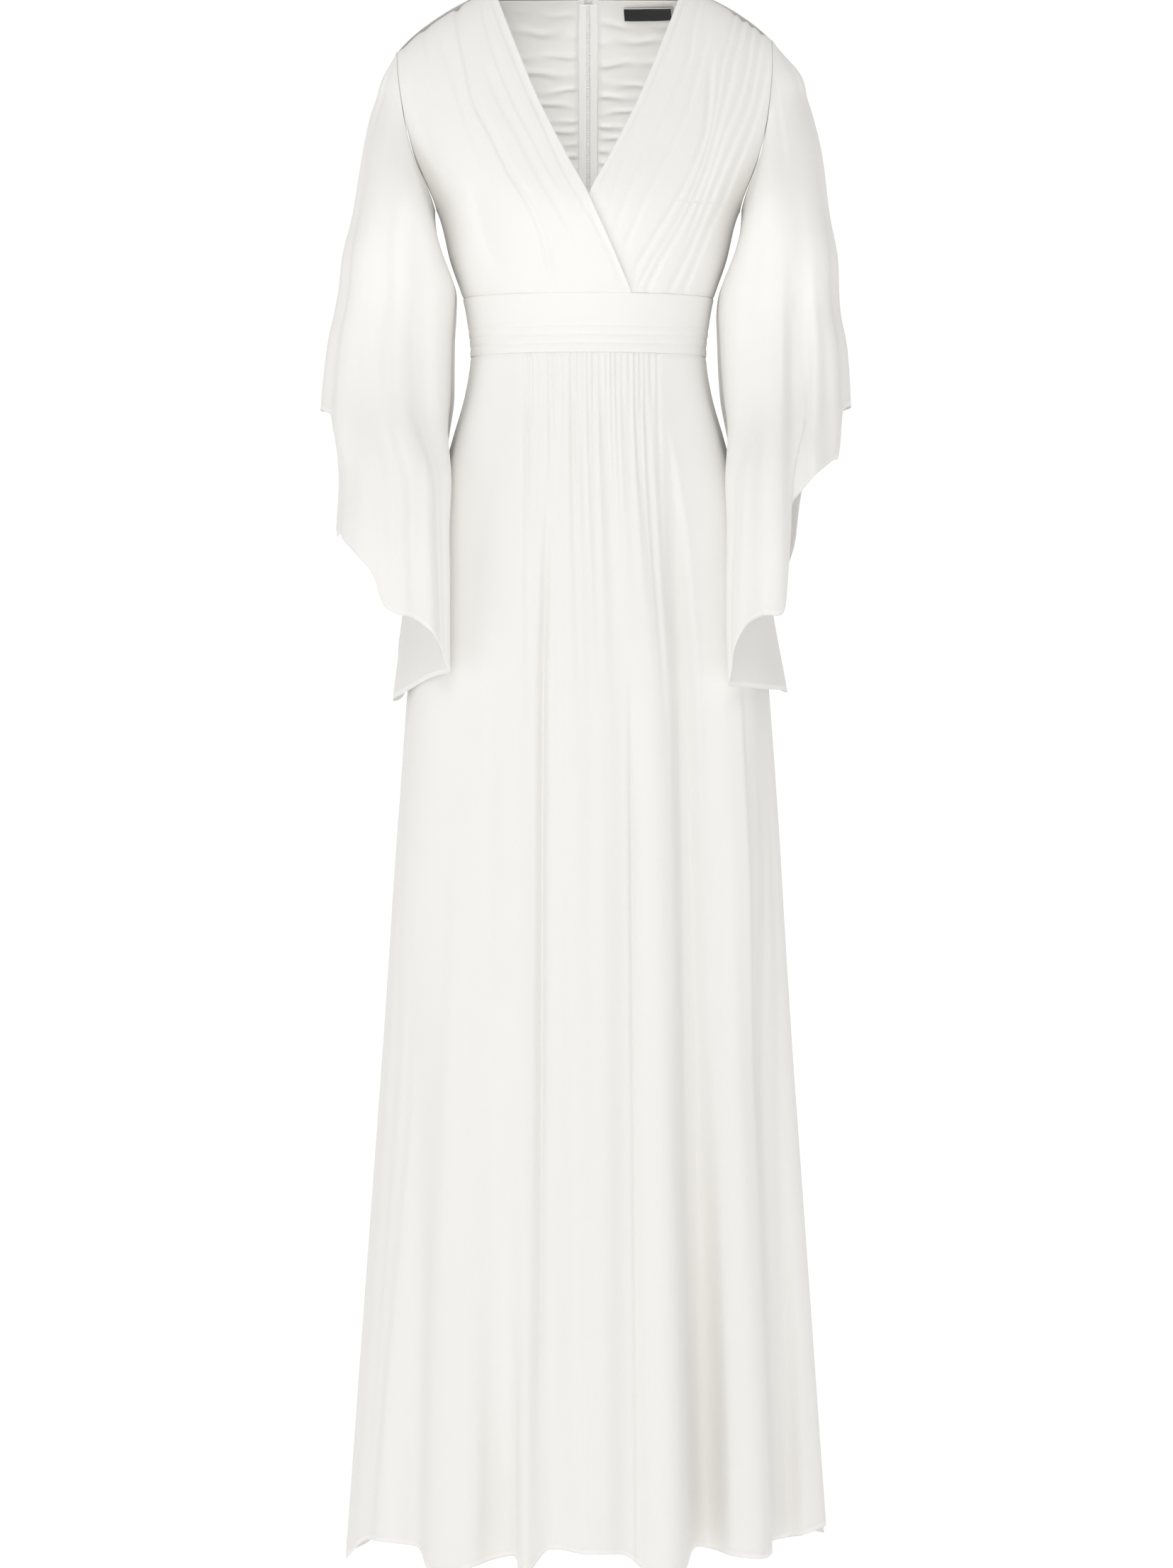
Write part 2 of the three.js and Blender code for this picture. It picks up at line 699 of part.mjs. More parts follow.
const SLIDER = { width: 4.6, above: 3.4, below: 6, plate: 1.6, lug: 1.6, hole: 1.2, ring: 2.1 };
const PULL = { width: 5, length: 20, eye: 2.8, bar: 1.1, window: 2.8, thick: 1, neck: 3.8 };
const sliderV = (SLIDER_Z - ZIP_TOP) / (ZIP_END - ZIP_TOP);
const sliderSeat = zipSurface(0, sliderV);
const sliderOut = normalAt(zipSurface, 0, sliderV, 1);
const SLIDER_CLEAR = 0.9;

// a shape drawn in the plane of the cloth, extruded away from it and centred on `height`
function platePiece(shape, height, thick) {
  const geometry = new THREE.ExtrudeGeometry(shape, { depth: thick, bevelEnabled: false, curveSegments: 6 });
  geometry.translate(0, 0, height - thick / 2);
  return geometry;
}

function toSolid(geometry) {
  const bare = geometry.index ? geometry.toNonIndexed() : geometry;
  bare.deleteAttribute('normal');
  bare.deleteAttribute('uv');
  const merged = mergeVertices(bare, 1e-4);
  return new wasm.Manifold(new wasm.Mesh({
    numProp: 3,
    vertProperties: merged.attributes.position.array,
    triVerts: new Uint32Array(merged.index.array),
  }));
}

function fromSolid(solid) {
  const { vertProperties, triVerts } = solid.getMesh();
  const geometry = new THREE.BufferGeometry();
  geometry.setAttribute('position', new THREE.BufferAttribute(vertProperties, 3));
  geometry.setIndex(new THREE.BufferAttribute(triVerts, 1));
  geometry.computeVertexNormals();
  return geometry;
}

// the plate and lug of the slider: X across, Y up along the slit, Z away from the cloth
function sliderGeometry(axisHeight) {
  const { width, above, below, plate, lug, hole, ring } = SLIDER;
  const outline = new THREE.Shape();
  outline.moveTo(-width / 2, above - 1.4);
  outline.quadraticCurveTo(-width / 2, above, 0, above);
  outline.quadraticCurveTo(width / 2, above, width / 2, above - 1.4);
  outline.lineTo(width / 2 - 0.7, -below);
  outline.lineTo(-width / 2 + 0.7, -below);
  const loop = new THREE.Shape();
  loop.absarc(0, 0, ring, 0, 2 * Math.PI);
  loop.holes.push(new THREE.Path().absarc(0, 0, hole, 0, 2 * Math.PI));
  const band = platePiece(loop, 0, lug);
  band.rotateY(Math.PI / 2);
  band.translate(0, 0, axisHeight);
  return fromSolid(toSolid(platePiece(outline, SEAM + plate / 2, plate)).add(toSolid(band)));
}

// the pull hangs from its top bar, which lies in the hole of the lug
function pullGeometry() {
  const { width, length, eye, bar, window, thick, neck } = PULL;
  const outline = new THREE.Shape();
  outline.moveTo(-neck / 2 - 0.4, bar / 2);
  outline.lineTo(neck / 2 + 0.4, bar / 2);
  outline.lineTo(neck / 2 + 0.4, -window - 1.6);
  outline.quadraticCurveTo(width / 2, -length * 0.6, width / 2, -length + 3);
  outline.absarc(0, -length + 3, width / 2, 0, -Math.PI, true);
  outline.quadraticCurveTo(-width / 2, -length * 0.6, -neck / 2 - 0.4, -window - 1.6);
  const gap = new THREE.Path();
  gap.moveTo(-eye / 2, -bar / 2);
  gap.lineTo(-eye / 2, -bar / 2 - window);
  gap.lineTo(eye / 2, -bar / 2 - window);
  gap.lineTo(eye / 2, -bar / 2);
  outline.holes.push(gap);
  return platePiece(outline, 0, thick);
}

function addZip() {
  addZipStrip('zip_tape', TAPE_WIDTH, TAPE_INSET, TAPE_WALL, 2, 16, TAPE);
  addZipStrip('zip_coil', COIL_WIDTH, TAPE_INSET + TAPE_WALL + SEAM, COIL_WALL, 1, 16, TAPE);
  const axisHeight = SEAM + SLIDER.plate + SLIDER.hole + 0.3;
  const slider = addPiece('zip_slider', sliderGeometry(axisHeight), METAL);
  const pull = addPiece('zip_pull', pullGeometry(), METAL);
  const across = new THREE.Vector3(-1, 0, 0);
  const along = new THREE.Vector3().crossVectors(sliderOut, across);
  const stand = new THREE.Matrix4().makeBasis(across, along, sliderOut);
  for (const [mesh, height] of [[slider, 0], [pull, axisHeight]]) {
    mesh.quaternion.setFromRotationMatrix(stand);
    mesh.position.copy(sliderSeat).addScaledVector(sliderOut, height + SLIDER_CLEAR);
  }
}

// ---------------------------------------------------------------- neck label

const LABEL = { shares: [0.57, 0.8], levels: [0.042, 0.084], wall: 0.8, clear: 1.0 };

function addLabel() {
  addPiece('neck_label', clothWall({
    surface: backSurface('left'),
    raise: () => -(LINING.inset + LINING.clear + LINING.depth + LINING.wall + LABEL.clear),
    lines: steps(6).map((t) => mix(LABEL.shares[0], LABEL.shares[1], t)),
    levels: steps(2).map((t) => mix(LABEL.levels[0], LABEL.levels[1], t)),
    facing: -1,
    wall: LABEL.wall,
  }), BLACK);
}

addFront('right');
addFront('left');
addBack('right');
addBack('left');
addLining('right');
addLining('left');
addBand('waistband_front', -90, 90, 20, 0);
addBand('waistband_back_left', 90, 180, 10, ZIP_SLIT);
addBand('waistband_back_right', -180, -90, 10, -ZIP_SLIT);
addSkirtPanel('skirt_front', SKIRT_FRONT, { levels: 12 });
addSkirtPanel('skirt_back_left', SKIRT_BACK, { levels: 10, slit: ZIP_SLIT });
addSkirtPanel('skirt_back_right', SKIRT_BACK, { levels: 10, slit: ZIP_SLIT, mirror: -1 });
addSleeve('right');
addSleeve('left');
addZip();
addLabel();

export default dress;
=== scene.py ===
import math

import bpy
import numpy as np
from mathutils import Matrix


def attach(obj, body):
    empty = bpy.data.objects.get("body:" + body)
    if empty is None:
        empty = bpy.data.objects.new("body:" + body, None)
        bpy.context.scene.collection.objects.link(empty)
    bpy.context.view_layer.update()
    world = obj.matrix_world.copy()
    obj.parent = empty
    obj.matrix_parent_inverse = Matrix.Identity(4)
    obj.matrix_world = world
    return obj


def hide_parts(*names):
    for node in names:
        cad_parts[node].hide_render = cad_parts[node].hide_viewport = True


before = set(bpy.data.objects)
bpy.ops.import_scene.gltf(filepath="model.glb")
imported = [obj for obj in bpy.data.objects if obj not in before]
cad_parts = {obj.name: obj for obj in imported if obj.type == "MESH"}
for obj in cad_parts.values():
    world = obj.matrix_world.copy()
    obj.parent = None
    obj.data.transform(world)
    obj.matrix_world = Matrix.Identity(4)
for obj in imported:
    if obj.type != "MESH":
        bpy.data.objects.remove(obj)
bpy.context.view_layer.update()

for spare in ("Cube", "Light", "Camera"):
    if spare in bpy.data.objects:
        bpy.data.objects.remove(bpy.data.objects[spare])
bpy.ops.object.select_all(action="DESELECT")

# ---------------------------------------------------------------- bodice fronts
# Two fronts of ivory chiffon over a plain underlayer, laid in soft pleats from the shoulder seam to
# the band. The wearer's right front lies on top where they cross over. Each neck edge is turned in
# and topstitched. Sizes are in millimetres, and a finished sheet is in metres.

MM = 0.001
SEAM = 0.3
EASE_APART = 0.1
UNDERARM = -218.0
BAND_TOP = -307.0
SHOULDER_TIP = {"right": -62.0, "left": -50.0}
SHOULDER_BOW = {"right": 1.25, "left": 1.4}
TIP_TURN = {"right": 62.0, "left": 58.0}
# the wearer's right is on the side of negative x
MIRROR = {"right": -1, "left": 1}


def table(columns, rows):
    rows = np.array(rows, float)
    return {name: rows[:, k] for k, name in enumerate(columns.split())}


def each(rows):
    return zip(*rows.values())


# the general figure that the cut fits: half width, depth to the front and depth to the back
FIGURE = table("z wide front back", [
    (20, 200, 60, 72), (0, 206, 64, 76), (-60, 214, 80, 86), (-110, 206, 93, 97), (-160, 186, 107, 104),
    (-218, 150, 121, 103), (-269, 136, 112, 96), (-307, 123, 98, 90), (-335, 118, 91, 88),
    (-363, 116, 89, 90), (-402, 122, 94, 100), (-444, 134, 101, 113), (-500, 149, 109, 124),
    (-560, 161, 117, 131), (-700, 179, 134, 145), (-1060, 201, 162, 172), (-1340, 219, 184, 192),
    (-1600, 236, 202, 208),
])
# how far from the middle the neck edge of the wrap runs at each height
NECKLINE = table("z x", [
    (12, 97), (0, 93), (-52, 74), (-115, 49), (-174, 20), (-211, 0), (-307, -43), (-330, -50),
])


def mix(a, b, t):
    return a + (b - a) * t


def ease(low, high, value):
    t = np.clip((value - low) / (high - low), 0, 1)
    return t * t * (3 - 2 * t)


# comes in over `come` millimetres below `start`, and goes out over `go` millimetres above `stop`
def between(start, stop, z, come, go):
    return ease(start, start - come, z) * ease(stop, stop + go, z)


def soft_bump(distance, wide):
    return (1 + np.cos(np.pi * np.clip(distance / (2 * wide), -1, 1))) / 2


def along(rows, place, column, value):
    places, values = rows[place], rows[column]
    if places[0] > places[-1]:
        places, values = places[::-1], values[::-1]
    last = len(places) - 1
    k = np.clip(np.searchsorted(places, value, side="right") - 1, 0, last - 1)
    before = np.maximum(np.arange(last + 1) - 1, 0)
    after = np.minimum(np.arange(last + 1) + 1, last)
    slope = (values[after] - values[before]) / (places[after] - places[before])
    span = places[k + 1] - places[k]
    t = np.clip((value - places[k]) / span, 0, 1)
    bow = t * (1 - t) * span * ((1 - t) * slope[k] - t * slope[k + 1])
    return mix(values[k], values[k + 1], t * t * (3 - 2 * t)) + bow


def figure_depth(turn, z):
    ahead = np.cos(np.radians(turn)) > 0
    return np.where(ahead, along(FIGURE, "z", "front", z), along(FIGURE, "z", "back", z))


# point of the figure: `turn` in degrees round from the middle of the front, towards the wearer's left
def figure_point(turn, z, roll=1.0):
    angle = np.radians(turn)
    x = along(FIGURE, "z", "wide", z) * np.sin(angle)
    y = -figure_depth(turn, z) * np.cos(angle) * roll
    return np.stack(np.broadcast_arrays(x, y, z), -1)


def armhole_turn(side, z):
    opened = np.clip((z - UNDERARM) / (SHOULDER_TIP[side] - UNDERARM), 0, 1)
    return 90 - (90 - TIP_TURN[side]) * np.sqrt(opened * (2 - opened))


def neck_turn(z):
    return np.degrees(np.arcsin(along(NECKLINE, "z", "x", z) / along(FIGURE, "z", "wide", z)))


def shoulder_line(side, across):
    return SHOULDER_TIP[side] * (1 - np.clip(across, 0, 1)) ** SHOULDER_BOW[side]


def shoulder_roll(drop, reach):
    t = np.clip(drop / reach, 0, 1)
    return np.sqrt(t * (2 - t))


def outward(surface, u, v, facing):
    step = 0.002
    across = surface(u + step, v) - surface(u - step, v)
    down = surface(u, v + step) - surface(u, v - step)
    normal = np.cross(across, down)
    return normal * facing / np.linalg.norm(normal, axis=-1, keepdims=True)


# an object of this mesh, smooth all over
def placed(mesh):
    mesh.polygons.foreach_set("use_smooth", np.ones(len(mesh.polygons), bool))
    piece = bpy.data.objects.new(mesh.name, mesh)
    bpy.context.scene.collection.objects.link(piece)
    return piece


# a sheet of cloth on a surface, lifted along its outside by `rise` and then moved by `slide`. Its first
# UV map is metres of cloth across and down, and its second is metres along the finished edge and in
# from it.
def cloth_sheet(
    name, surface, rise, lines, levels, facing, thickness, closed=False, finished=None, slide=None,
):
    u, v = np.meshgrid(lines, levels)
    points = surface(u, v) + outward(surface, u, v, facing) * rise(u, v)[..., None]
    if slide:
        points = slide(u, v, points)
    points = points * MM
    rows, columns = u.shape
    index = np.arange(rows * columns).reshape(rows, columns)
    if closed:
        index = np.concatenate([index, index[:, :1]], 1)
    laid = points.reshape(-1, 3)[index]
    across = np.zeros(index.shape)
    across[:, 1:] = np.cumsum(np.linalg.norm(np.diff(laid, axis=1), axis=-1), 1)
    down = np.zeros(index.shape)
    down[1:] = np.cumsum(np.linalg.norm(np.diff(laid, axis=0), axis=-1), 0)
    run, inset = across, np.full(index.shape, 1.0)
    if finished == "foot":
        inset = down[-1:] - down
    if finished == "last line":
        run, inset = down, across[:, -1:] - across
    corners = [(0, 0), (0, 1), (1, 1), (1, 0)] if facing > 0 else [(0, 0), (1, 0), (1, 1), (0, 1)]

    def by_corner(grid):
        high, wide = grid.shape
        return np.stack([grid[i:high - 1 + i, j:wide - 1 + j] for i, j in corners], -1)

    mesh = bpy.data.meshes.new(name)
    mesh.from_pydata(points.reshape(-1, 3).tolist(), [], by_corner(index).reshape(-1, 4).tolist())
    for label, first, second in (("cloth", across, down), ("edge", run, inset)):
        flat = np.stack([by_corner(first), by_corner(second)], -1)
        mesh.uv_layers.new(name=label).data.foreach_set("uv", flat.astype(np.float32).ravel())
    piece = placed(mesh)
    wall = piece.modifiers.new("wall", "SOLIDIFY")
    wall.thickness = thickness * MM
    wall.offset = -1
    return piece


FRONT_ROLL = 190.0
WRAP_LIFT = 1.5
WRAP_EASE = 15.0
CHIFFON_THICK = 0.5
# the finished edge of the chiffon, in metres of cloth: the paler turned hem, and how far in its line of
# stitches lies, how thick the line is and how long a stitch is
HEM_WIDE = 0.0042
STITCH_LINE = 0.0062
STITCH_THICK = 1 / 1800
STITCH_LONG = 0.0014
# the neck edge is turned in and topstitched: its width, how far it stands out, its slant and its stitches
TURNING = 7.0
TURNING_STANDS = 0.45
NECK_SLANT = 0.9
STITCH_DEEP = 0.4
STITCH_WIDE = 0.7
# a panel goes this far under the band, sunk by the thickness of the band over the last millimetres
TUCKED_UNDER = 4.0
SUNK = 1.1
SINKS_FROM = 6.0
SINKS_TO = 1.0
# how far down a crease of a front takes to come in, and to run out
CREASE_IN = 40.0
CREASE_OUT = 45.0
# where each crease of a front runs: its distance from the middle at each height
FRONT_LINES = {
    "right": table("z pocket arm bust soft main inner roll neck", [
        (10, 190, 168, 152, 150, 133, 118, 108, 99), (-40, 184, 162, 150, 146, 128, 112, 100, 86),
        (-80, 178, 154, 144, 136, 120, 101, 88, 70), (-120, 170, 146, 134, 124, 111, 86, 72, 54),
        (-150, 160, 136, 125, 114, 96, 70, 57, 41), (-190, 144, 128, 117, 99, 77, 50, 37, 23),
        (-220, 130, 118, 110, 86, 59, 33, 19, 6), (-250, 118, 100, 103, 72, 46, 16, 3, -12),
        (-280, 108, 84, 90, 58, 39, 4, -10, -26), (-312, 100, 66, 66, 44, 30, -8, -22, -40),
    ]),
    "left": table("z neck edge near seam ridge deep fall side arm", [
        (10, 104, 116, 128, 142, 150, 158, 170, 180, 190), (-40, 88, 104, 120, 130, 142, 152, 162, 172, 182),
        (-80, 76, 98, 110, 122, 132, 143, 157, 166, 176), (-120, 58, 82, 100, 119, 126, 134, 146, 158, 168),
        (-150, 46, 68, 88, 115, 120, 126, 134, 146, 158), (-180, 35, 53, 74, 105, 112, 118, 124, 134, 146),
        (-215, 23, 38, 57, 88, 98, 105, 112, 120, 132), (-245, 14, 27, 44, 70, 82, 90, 100, 108, 118),
        (-275, 6, 17, 32, 52, 63, 72, 84, 95, 106), (-312, -3, 8, 20, 34, 44, 54, 64, 76, 90),
    ]),
}
# how deep and wide each crease is, and the heights between which it shows
FRONT_CREASES = {
    "right": {
        "pocket": (1.2, 6.0, -20, -190), "arm": (1.2, 4.5, 30, -150), "bust": (3.4, 9.0, -185, -300),
        "soft": (1.3, 5.0, -30, -240), "main": (2.8, 3.2, 30, -320), "inner": (1.2, 4.5, -60, -280),
        "roll": (1.0, 3.5, 30, -220), "neck": (0.9, 2.6, 30, -330),
    },
    "left": {
        "neck": (0.9, 2.4, 30, -330), "edge": (1.5, 2.8, 30, -310), "near": (1.3, 3.0, -30, -340),
        "seam": (2.5, 2.7, -60, -350), "ridge": (1.4, 2.2, 30, -350), "deep": (2.4, 3.0, 30, -350),
        "fall": (1.9, 2.8, 30, -270), "side": (1.7, 3.2, 10, -350), "arm": (1.6, 3.4, -60, -350),
    },
}


def front_surface(side):
    mirror = MIRROR[side]

    def surface(share, v):
        top = shoulder_line(side, share)
        z = mix(top, BAND_TOP, v)
        turn = mix(armhole_turn(side, z), neck_turn(z), share)
        point = figure_point(mirror * turn, z, shoulder_roll(top - z, FRONT_ROLL))
        point[..., 1] -= SEAM + EASE_APART
        return point

    return surface


# a crease falls steeply on one side and runs out softly on the other
def crease(place, steep=0.7, soft=1.6):
    return np.exp(-((place / np.where(place > 0, steep, soft)) ** 2))


def front_rise(side):
    lines = FRONT_LINES[side]
    surface = front_surface(side)
    mirror = MIRROR[side]

    def rise(share, v):
        point = surface(share, v)
        x, z = point[..., 0], point[..., 2]
        edge = along(NECKLINE, "z", "x", z)
        under = ease(-WRAP_EASE, 0, -edge - x) if side == "left" else 0
        over = ease(-WRAP_EASE, 0, x - edge) if side == "right" else 0
        out = np.zeros(share.shape)
        for name, (deep, wide, top, foot) in FRONT_CREASES[side].items():
            place = (mirror * x - along(lines, "z", name, z)) / wide
            out -= deep * between(top, foot, z, CREASE_IN, CREASE_OUT) * crease(place)
        inset = NECK_SLANT * (mirror * x - edge)
        out += TURNING_STANDS * (1 - ease(TURNING - 1, TURNING, inset))
        out -= STITCH_DEEP * soft_bump(inset - TURNING, STITCH_WIDE)
        sunk = ease(BAND_TOP + SINKS_FROM, BAND_TOP + SINKS_TO, z)
        return (WRAP_LIFT * (over - under) + out * (1 - under)) * (1 - sunk) - SUNK * sunk

    return rise


def set_sockets(node, values):
    for socket, value in values.items():
        node.inputs[socket].default_value = value


# a new finish: its material, nodes and links, and the shader that they feed
def new_finish(name, values):
    finish = bpy.data.materials.new(name)
    finish.use_nodes = True
    tree = finish.node_tree
    set_sockets(tree.nodes["Principled BSDF"], values)
    return finish, tree.nodes, tree.links, tree.nodes["Principled BSDF"]


def cloth_place(nodes, layer="cloth"):
    place = nodes.new("ShaderNodeUVMap")
    place.uv_map = layer
    return place.outputs["UV"]


# a pattern of a finish, "Noise" or "Wave", laid by `place`
def pattern(nodes, links, kind, place, values, bands="X"):
    texture = nodes.new("ShaderNodeTex" + kind)
    if kind == "Wave":
        texture.bands_direction = bands
    set_sockets(texture, values)
    links.new(place, texture.inputs["Vector"])
    return texture.outputs["Fac"]


# colour of a finish: it goes from the first colour to the second as `value` goes between `ends`
def coloured(nodes, links, shader, value, colours, ends=(0, 1)):
    shade = nodes.new("ShaderNodeValToRGB")
    for element, colour, end in zip(shade.color_ramp.elements, colours, ends):
        element.position = end
        element.color = (*colour, 1)
    links.new(value, shade.inputs["Fac"])
    links.new(shade.outputs["Color"], shader.inputs["Base Color"])
    return shade.outputs["Color"]


# low relief of a finish, laid over any relief that it has already
def raised(nodes, links, shader, height, strength, distance):
    bump = nodes.new("ShaderNodeBump")
    set_sockets(bump, {"Strength": strength, "Distance": distance})
    links.new(height, bump.inputs["Height"])
    if shader.inputs["Normal"].is_linked:
        links.new(shader.inputs["Normal"].links[0].from_socket, bump.inputs["Normal"])
    links.new(bump.outputs["Normal"], shader.inputs["Normal"])


def chiffon_cloth():
    cloth, nodes, links, shader = new_finish("ivory_chiffon", {
        "Roughness": 0.82, "Sheen Weight": 0.15, "Sheen Roughness": 0.45, "Specular IOR Level": 0.2,
    })
    place = cloth_place(nodes)

    def maths(kind, first, second=None, third=None):
        node = nodes.new("ShaderNodeMath")
        node.operation = kind
        for socket, value in zip(node.inputs, (first, second, third)):
            if value is None:
                continue
            if isinstance(value, (int, float)):
                socket.default_value = value
            else:
                links.new(value, socket)
        return node.outputs[0]

    # threads of the crepe weave, one set across and one down, twisted and a little uneven
    twist = pattern(nodes, links, "Noise", place, {"Scale": 900, "Detail": 2})
    thread = {"Scale": 620, "Distortion": 2.2, "Detail": 1, "Detail Scale": 1.4}
    threads = [pattern(nodes, links, "Wave", place, thread, bands) for bands in ("X", "Y")]
    weave = maths("MULTIPLY_ADD", maths("MAXIMUM", *threads), 0.6, maths("MULTIPLY", twist, 0.8))
    # cloudy ripple where two layers of chiffon lie on each other
    ripple = pattern(nodes, links, "Noise", place, {"Scale": 26, "Detail": 3})
    # the finished edge: a turned hem and its line of short stitches
    split = nodes.new("ShaderNodeSeparateXYZ")
    links.new(cloth_place(nodes, "edge"), split.inputs[0])
    run, inset = split.outputs["X"], split.outputs["Y"]
    off_line = maths("ABSOLUTE", maths("SUBTRACT", inset, STITCH_LINE))
    line = maths("MAXIMUM", maths("SUBTRACT", 1.0, maths("MULTIPLY", off_line, 1 / STITCH_THICK)), 0.0)
    stitch = maths("MULTIPLY", maths("PINGPONG", run, STITCH_LONG), 1 / STITCH_LONG)
    hem = maths("LESS_THAN", inset, STITCH_LINE)
    height = maths("MULTIPLY_ADD", hem, 3.0, maths("MULTIPLY", maths("MULTIPLY", line, stitch), -4.0))
    height = maths("ADD", height, weave)
    raised(nodes, links, shader, height, 0.35, 0.00012)
    raised(nodes, links, shader, ripple, 0.1, 0.0006)
    tone = maths("MULTIPLY_ADD", weave, 0.35, maths("MULTIPLY_ADD", ripple, 0.12, 0.2))
    tone = maths("MULTIPLY_ADD", maths("LESS_THAN", inset, HEM_WIDE), 0.5, tone)
    coloured(nodes, links, shader, tone, ((0.895, 0.878, 0.845), (0.935, 0.922, 0.894)), (0.25, 0.75))
    return cloth


CHIFFON = chiffon_cloth()


def sew_on(piece, material, node):
    piece.data.materials.append(material)
    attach(piece, "dress")
    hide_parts(node)


UNDER_BAND = 1 + TUCKED_UNDER / -BAND_TOP
# mesh lines down a front, closer together where the armhole ends
FRONT_LEVELS = np.linspace(0, 1, 105) ** 1.25 * UNDER_BAND
FRONT_LEVELS = np.unique(np.append(FRONT_LEVELS, np.arange(0.60, 0.74, 0.0045)))
for side in ("right", "left"):
    piece = cloth_sheet(
        f"pleated_front_{side}", front_surface(side), front_rise(side), np.linspace(0, 1, 161),
        FRONT_LEVELS, MIRROR[side], CHIFFON_THICK, finished="last line")
    sew_on(
        piece, CHIFFON, f"front_{side}")

# ---------------------------------------------------------------- bodice backs
# Two plain backs of the same cloth, from the shoulder seams to the band, either side of the zip.
# They curve in to a shallow round neck, which is bound with a narrow turned edge.

BACK_ROLL = 150.0
NECK_POINT_SHARE = 0.5
BACK_NECK = 4.0
BACK_NECK_DEPTH = 0.74
ZIP_SLIT = 0.2
# soft drag lines: where each lies across and down, how deep, how wide and how tall it is
BACK_DRAG = table("share v deep wide tall", [
    (0.22, 0.42, 1.1, 0.05, 0.22), (0.40, 0.62, 0.9, 0.04, 0.24), (0.58, 0.80, 1.0, 0.05, 0.18),
    (0.80, 0.66, 0.8, 0.04, 0.30), (0.12, 0.75, 1.2, 0.06, 0.20),
])
DRAG_SLANT = 0.25


def back_surface(side):
    mirror = MIRROR[side]
    neck_point = 180 - neck_turn(np.array(0.0))

    def surface(share, v):
        neck = ease(NECK_POINT_SHARE, 1, share)
        shoulder = np.clip(share / NECK_POINT_SHARE, 0, 1)
        top = shoulder_line(side, shoulder) + BACK_NECK * neck
        z = mix(top, BAND_TOP, v)
        edge = 180 - armhole_turn(side, z)
        inner = (share - NECK_POINT_SHARE) / (1 - NECK_POINT_SHARE)
        outer_yoke, inner_yoke = mix(edge, neck_point, shoulder), mix(neck_point, 180, inner)
        yoke = np.where(share < NECK_POINT_SHARE, outer_yoke, inner_yoke)
        turn = mix(yoke, mix(edge, 180, share), ease(0, 0.35, v))
        roll = mix(BACK_NECK_DEPTH * neck, 1, shoulder_roll(top - z, BACK_ROLL))
        point = figure_point(mirror * turn, z, roll)
        point[..., 0] += mirror * ZIP_SLIT
        point[..., 1] += SEAM + EASE_APART
        return point

    return surface


def back_rise(share, v):
    out = np.zeros(share.shape)
    sunk = ease(1 - SINKS_FROM / -BAND_TOP, 1 - SINKS_TO / -BAND_TOP, v)
    for middle, level, deep, wide, tall in each(BACK_DRAG):
        down = v - level
        across = share - middle - DRAG_SLANT * down
        out -= deep * crease(across / wide) * soft_bump(down, tall)
    return out * ease(1.0, 0.85, share) * (1 - sunk) - SUNK * sunk


for side in ("right", "left"):
    piece = cloth_sheet(
        f"plain_back_{side}", back_surface(side), back_rise, np.linspace(0, 1, 61),
        np.linspace(0, 1, 101) ** 1.25 * UNDER_BAND, -MIRROR[side], CHIFFON_THICK)
    sew_on(
        piece, CHIFFON, f"bodice_back_{side}")

# ---------------------------------------------------------------- back lining
# Satin lining of the two backs, seen through the open neck. It is stitched down along the zip and
# drawn up there, so it stands in short sideways ruches that die out towards the side.

# where the part that shows starts and ends across and down, as shares of the back, and how far inside
# the back it lies: at the foot, how much more at the top, and under the tape
LINING = {
    "side": 0.3, "end": 0.982, "top": 0.015, "bottom": 0.985,
    "inset": 2.4, "clear": 2.4, "under_tape": 2.8, "wall": 0.7,
}
